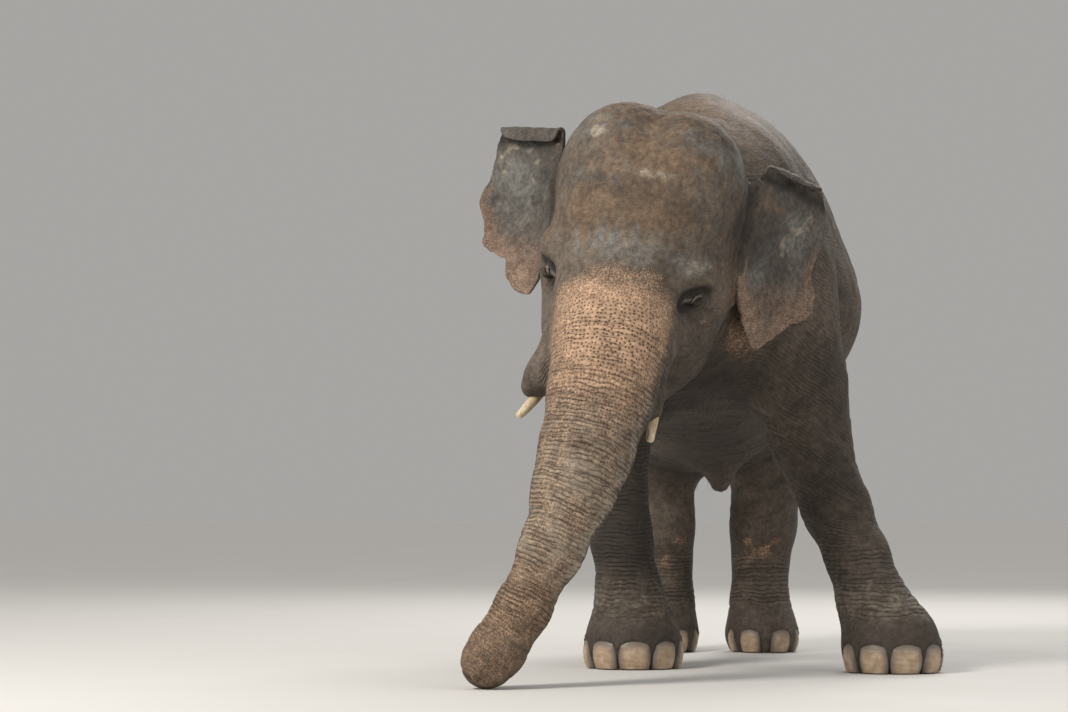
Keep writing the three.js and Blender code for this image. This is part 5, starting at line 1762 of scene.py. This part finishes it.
class ELEPHANT_OT_eyes(bpy.types.Operator):
    """Builds both eyes, with a raised cornea"""

    bl_idname = "elephant.eyes"
    bl_label = "Eyes"

    def execute(self, context):
        radius = context.scene.elephant_sizes.eye_radius
        for side in SIDES:
            centre, (outward, _, _) = eye_frame(side)
            shape = bmesh.new()
            turn = Vector(outward).to_track_quat("Z", "Y").to_matrix().to_4x4()
            bmesh.ops.create_uvsphere(shape, u_segments=64, v_segments=48, radius=radius, matrix=turn)
            facing = [vert.co.normalized().dot(Vector(outward)) for vert in shape.verts]
            gaze = np.array([math.acos(max(-1.0, min(1.0, share))) for share in facing])
            for vert, angle in zip(shape.verts, gaze):
                vert.co *= 1 + CORNEA_RISE * max(0.0, 1 - (angle / CORNEA_ANGLE) ** 2)
            bmesh.ops.translate(shape, vec=Vector(centre + SHIFT), verts=shape.verts[:])
            eye = add_piece(f"Eye_{side}", shape, finish_of("Eye", context))
            store(eye.data, "gaze", gaze)
            rest_on_body(eye, "eye", f"eye_{side}")
        return {"FINISHED"}


TUSK_LINES = {
    "left": ((0.262, -0.205, -0.445), (0.12, -0.45, -0.88)),
    "right": ((-0.222, -0.200, -0.475), (-0.30, -0.60, -0.74)),
}

# Length in the flesh, length of the rounded tip, how much thinner the tip is, and how far the tusk curves up.
TUSK_ROOT, TUSK_TIP, TUSK_TAPER, TUSK_CURVE = 0.130, 0.012, 0.0085, 0.010
TUSK_STEPS, TIP_ANGLES = 22, (0.35, 0.7, 1.05, 1.35)


class ELEPHANT_OT_tusks(bpy.types.Operator):
    """Builds both tusks, extruded ring by ring from the root to a blunt worn tip"""

    bl_idname = "elephant.tusks"
    bl_label = "Tusks"

    def execute(self, context):
        sizes = context.scene.elephant_sizes
        for side, (seat, heading) in TUSK_LINES.items():
            heading = Vector(heading).normalized()
            shape = bmesh.new()
            ring = bmesh.ops.create_circle(shape, cap_ends=True, segments=40, radius=1.0)["verts"]
            rings = [ring]
            length = sizes.tusk_shown - TUSK_TIP
            steps = [(-TUSK_ROOT + (TUSK_ROOT + length) * k / TUSK_STEPS, 0.0) for k in range(TUSK_STEPS + 1)]
            steps += [(length + TUSK_TIP * math.sin(angle), angle) for angle in TIP_ANGLES]
            for _ in steps[1:]:
                edges = [edge for edge in shape.edges if all(vert in rings[-1] for vert in edge.verts)]
                made = bmesh.ops.extrude_edge_only(shape, edges=edges)["geom"]
                rings.append([item for item in made if isinstance(item, bmesh.types.BMVert)])
            bmesh.ops.contextual_create(shape, geom=rings[-1])
            side_axis = heading.cross(Vector((0, 0, 1))).normalized()
            lift = side_axis.cross(heading).normalized()
            run = {}
            for ring, (along, dome) in zip(rings, steps):
                shown = max(0.0, along / sizes.tusk_shown)
                radius = (sizes.tusk_radius - TUSK_TAPER * shown**1.3) * max(0.12, math.cos(dome))
                for vert in ring:
                    local = Vector(seat) + heading * along + lift * TUSK_CURVE * shown**2
                    local += (side_axis * vert.co.x + lift * vert.co.y * 0.94) * radius
                    run[vert] = shown
                    vert.co = Vector(from_head(np.array([local]))[0] + SHIFT)
            bmesh.ops.recalc_face_normals(shape, faces=shape.faces[:])
            shares = np.array([run[vert] for vert in shape.verts])
            tusk = add_piece(f"Tusk_{side}", shape, finish_of("Tusk ivory", context))
            store(tusk.data, "run", shares)
            rest_on_body(tusk, "ivory", f"tusk_{side}")
        return {"FINISHED"}


# How square a nail's outline is, how far it reaches below its middle, and its height above the floor.
NAIL_SQUARENESS, NAIL_BELOW, NAIL_CLEARANCE = 0.55, 0.060, 0.004


class ELEPHANT_OT_nails(bpy.types.Operator):
    """Builds the nails of each foot as one piece"""

    bl_idname = "elephant.nails"
    bl_label = "Nails"

    def execute(self, context):
        depth = context.scene.elephant_sizes.nail_depth
        for foot in FEET:
            shape = bmesh.new()
            edge = {}
            nodes = []
            for owner, number, centre, half, tall, angle in nail_table():
                if owner != foot:
                    continue
                nodes.append(f"nail_{foot}_{number}")
                nail = bmesh.ops.create_uvsphere(shape, u_segments=72, v_segments=44, radius=1.0)["verts"]
                x, y, z, radius = FEET[foot]
                y -= 0.0 if foot.startswith("fore") else HINDFOOT_HALF_LENGTH
                for vert in nail:
                    across, deep, up = vert.co.x, -vert.co.y, vert.co.z
                    around = math.hypot(across, up)
                    square = max(abs(across), abs(up)) / around if around > 1e-6 else 1.0
                    across, up = across / square**NAIL_SQUARENESS, up / square**NAIL_SQUARENESS
                    edge[vert] = min(1.0, around) if deep > 0 else 1.0
                    height = centre[2] + up * (tall if up > 0 else NAIL_BELOW)
                    crown = (1 - min(1.0, around) ** 3.2) ** 0.5 if deep > 0 else -0.9
                    bearing = angle + across * half / radius
                    belly = math.sqrt(max(0.05, 1 - ((height - z) / radius) ** 2))
                    out = radius * belly - 0.006 + crown * depth * (0.95 - 0.35 * up)
                    out += 0.0007 * math.sin(up * 23.0 + across * 2.0) * max(0.0, crown)
                    vert.co = (x + math.sin(bearing) * out, y - math.cos(bearing) * out, height)
            for vert in shape.verts:
                vert.co.z = max(vert.co.z, NAIL_CLEARANCE)
            bmesh.ops.translate(shape, vec=Vector(SHIFT), verts=shape.verts[:])
            face_outwards(shape)
            shares = np.array([edge[vert] for vert in shape.verts])
            nails = add_piece(f"Nails_{foot}", shape, finish_of("Toenail horn", context))
            store(nails.data, "edge", shares)
            rest_on_body(nails, "nail", *nodes)
        return {"FINISHED"}


# How much thinner a bristle is at its tip, and half the size of its patch on the map.
STRAND_TAPER, STRAND_PATCH = 0.72, 0.0015


def strands(lines, radii, roots_on_skin, sides=3):
    """Tapering bristles along many lines, duplicated from one extruded tube.

    roots_on_skin gives each root's place on the unwrapped skin; the map gives each bristle a small patch there.
    """
    count, steps = lines.shape[:2]
    shape = bmesh.new()
    number = shape.verts.layers.int.new("number")
    ring = bmesh.ops.create_circle(shape, cap_ends=True, segments=sides, radius=1.0)["verts"]
    edges = list({edge for vert in ring for edge in vert.link_edges})
    for _ in range(1, steps):
        made = bmesh.ops.extrude_edge_only(shape, edges=edges)["geom"]
        ring = [item for item in made if isinstance(item, bmesh.types.BMVert)]
        edges = [item for item in made if isinstance(item, bmesh.types.BMEdge) and set(item.verts) <= set(ring)]
        bmesh.ops.translate(shape, vec=(0, 0, 1), verts=ring)
    bmesh.ops.contextual_create(shape, geom=ring)
    face_outwards(shape)
    made = 1
    while made < count:
        chosen = [vert for vert in shape.verts if vert[number] < count - made]
        kept = set(chosen)
        geom = chosen + [item for items in (shape.edges, shape.faces) for item in items if item.verts[0] in kept]
        for item in bmesh.ops.duplicate(shape, geom=geom)["geom"]:
            if isinstance(item, bmesh.types.BMVert):
                item[number] += made
        made = min(count, made * 2)

    shape.verts.ensure_lookup_table()
    pattern = np.array([vert.co for vert in shape.verts])
    which = np.array([vert[number] for vert in shape.verts])
    step = np.rint(pattern[:, 2]).astype(int)
    along = np.gradient(lines, axis=1)
    along /= np.linalg.norm(along, axis=2, keepdims=True)
    aside = np.cross(along, np.array([0.31, 0.53, 0.79]))
    aside /= np.linalg.norm(aside, axis=2, keepdims=True)
    third = np.cross(along, aside)
    share = step / (steps - 1)
    thin = radii[which] * (1 - STRAND_TAPER * share)
    ring = aside[which, step] * pattern[:, :1] + third[which, step] * pattern[:, 1:2]
    places = lines[which, step] + ring * thin[:, None]
    for vert, place in zip(shape.verts, places):
        vert.co = place
    unwrap = shape.loops.layers.uv.new("OFBake")
    patch = roots_on_skin[which] + STRAND_PATCH * np.stack([pattern[:, 0], 2 * share - 1 + 0.2 * pattern[:, 1]], 1)
    shape.verts.index_update()
    for face in shape.faces:
        for loop in face.loops:
            loop[unwrap].uv = patch[loop.vert.index]
    bmesh.ops.translate(shape, vec=Vector(SHIFT), verts=shape.verts[:])
    return shape


def bristle_roots(rng, count):
    """Places and directions of the sparse bristles on the crown, chin, lips and back, on the finished hide."""
    mesh = bpy.data.objects["Hide"].data
    middle, normal = (read(mesh.polygons, name).astype(float) for name in ("center", "normal"))
    middle -= SHIFT
    h = to_head(middle)
    on_head = fade(head_field(middle), 0.03, 0.005)
    chin = fade(h[:, 2], -0.36, -0.46) * fade(limb(middle, TRUNK_LINE), 0.02, 0.05)
    weight = on_head * (fade(h[:, 2], 0.35, 0.62) + 1.4 * chin)
    weight += (1 - on_head) * 0.4 * fade(middle[:, 2], 2.15, 2.40)
    chance = weight * read(mesh.polygons, "area", 1)[:, 0]
    chosen = rng.choice(len(chance), size=count, p=chance / chance.sum())
    return middle[chosen], normal[chosen], h[chosen]


def strand_lines(steps, place):
    """Points along many strands, where place gives all of them at a share of the way from root to tip."""
    return np.stack([place(share) for share in np.linspace(0, 1, steps)], 1)


def tuft_strands(rng, sizes):
    """The tail's tuft, fanned out to both sides."""
    count, upright = sizes.tuft_hairs, np.array([0, 0, 1])
    angle, up = rng.uniform(0, 2 * math.pi, count), rng.uniform(0.0, 0.13, count)
    around = np.stack([np.cos(angle), np.sin(angle), angle * 0], 1)
    girth = (0.013 + 0.06 * up)[:, None]
    root = np.array(TAIL_LINE[-1][:3]) + around * np.array([1, 0.75, 1]) * girth + up[:, None] * upright
    flat = np.abs(around[:, :1])
    length = rng.uniform(0.20, 0.31, (count, 1)) * (0.75 + 0.25 * flat)
    spread = rng.uniform(0.02, 0.045, (count, 1)) * (0.35 + 0.65 * flat) * around * np.array([1, 0.25, 0])
    bend = rng.normal(0, 0.006, (count, 3)) * np.array([1, 0.3, 0])
    lines = strand_lines(6, lambda t: root + spread * math.sin(t * 1.6) + bend * t * t - length * t * upright)
    return lines, (0.0006, 0.0011), np.stack([angle / (2 * math.pi) * 0.9 + 0.05, 0.1 + up * 6], 1)


def bristle_strands(rng, sizes):
    """Sparse bristles on the crown, chin and back, leaning backwards."""
    count = sizes.head_hairs
    root, normal, h = bristle_roots(rng, count)
    length = rng.uniform(0.012, 0.034, (count, 1))
    lean = rng.normal(0, 0.35, (count, 3)) + np.array([0, 0.7, -0.1])

    def place(t):
        return root - normal * 0.002 + length * (normal * t * (0.8 - 0.4 * t) + lean * t * (0.5 + 0.5 * t))

    lines = inside_box(strand_lines(4, place) + SHIFT) - SHIFT
    bearing = np.arctan2(h[:, 0], -h[:, 1]) / (2 * math.pi)
    polar = np.arccos(np.clip(h[:, 2] / np.linalg.norm(h, axis=1), -1, 1)) / math.pi
    return lines, (0.0003, 0.0005), np.stack([0.5 + 0.96 * bearing, 0.02 + 0.96 * polar], 1)


def lash_strands(rng, sizes, side):
    """Lashes along the edge of one upper lid, drooping outwards."""
    centre, (outward, forward, upward) = eye_frame(side)
    count, radius = sizes.lashes, sizes.eye_radius
    along = np.linspace(-0.85, 0.80, count)
    over = LID_HALF_UPPER * (1 - np.abs(along) ** LID_CURVE) ** (1 / LID_CURVE)
    a, b = (along * LID_HALF_LENGTH / radius)[:, None], (over / radius)[:, None]
    way = np.cos(a) * np.cos(b) * outward + np.sin(a) * forward + np.sin(b) * upward
    way /= np.linalg.norm(way, axis=1, keepdims=True)
    root = centre + way * (radius + 0.0045)
    length = rng.uniform(0.020, 0.034, (count, 1))
    out = outward * 0.75 + forward * (along * 0.45)[:, None] + rng.normal(0, 0.08, (count, 3))
    lines = strand_lines(6, lambda t: root + length * (out * t - upward * (0.35 * t + 0.65 * t * t)))
    return lines, (0.0005, 0.0008), np.stack([0.5 + along * 0.4, 0.5 + over * 10], 1)


class ELEPHANT_OT_hair(bpy.types.Operator):
    """Builds the tail's tuft, the lashes, and the sparse bristles of the head and back"""

    bl_idname = "elephant.hair"
    bl_label = "Hair"

    def execute(self, context):
        sizes = context.scene.elephant_sizes
        rng = np.random.default_rng(7)
        material = finish_of("Bristle", context)
        for name, nodes, make, *given in (
            ("Tail_tuft", ("tail_tuft",), tuft_strands),
            ("Bristles", (), bristle_strands),
            *((f"Lashes_{side}", (), lash_strands, side) for side in SIDES),
        ):
            lines, thickness, unwrap = make(rng, sizes, *given)
            piece = add_piece(name, strands(lines, rng.uniform(*thickness, len(lines)), unwrap), material)
            rest_on_body(piece, "tail_hair", *nodes)
        return {"FINISHED"}


class ELEPHANT_PT_panel(bpy.types.Panel):
    """Lists the pieces of the elephant"""

    bl_idname = "ELEPHANT_PT_panel"
    bl_label = "Elephant"
    bl_space_type = "VIEW_3D"
    bl_region_type = "UI"
    bl_category = "Elephant"

    def draw(self, context):
        layout = self.layout
        for operator in PIECE_OPERATORS:
            layout.operator(operator.bl_idname)
        for settings in (context.scene.elephant_sizes, context.scene.elephant_colours):
            box = layout.box()
            for name in settings.bl_rna.properties.keys():
                if name not in ("rna_type", "name"):
                    box.prop(settings, name)


PIECE_OPERATORS = (
    ELEPHANT_OT_stage,
    ELEPHANT_OT_hide,
    ELEPHANT_OT_ears,
    ELEPHANT_OT_eyes,
    ELEPHANT_OT_tusks,
    ELEPHANT_OT_nails,
    ELEPHANT_OT_hair,
)
CLASSES = (ElephantSizes, ElephantColours, *PIECE_OPERATORS, ELEPHANT_PT_panel)


def register():
    for item in CLASSES:
        bpy.utils.register_class(item)
    bpy.types.Scene.elephant_sizes = PointerProperty(type=ElephantSizes)
    bpy.types.Scene.elephant_colours = PointerProperty(type=ElephantColours)


def unregister():
    del bpy.types.Scene.elephant_colours
    del bpy.types.Scene.elephant_sizes
    for item in reversed(CLASSES):
        bpy.utils.unregister_class(item)


def main():
    register()
    bpy.ops.elephant.stage()
    bpy.ops.elephant.hide()
    bpy.ops.elephant.ears()
    bpy.ops.elephant.eyes()
    bpy.ops.elephant.tusks()
    bpy.ops.elephant.nails()
    bpy.ops.elephant.hair()


if __name__ == "__main__":
    main()
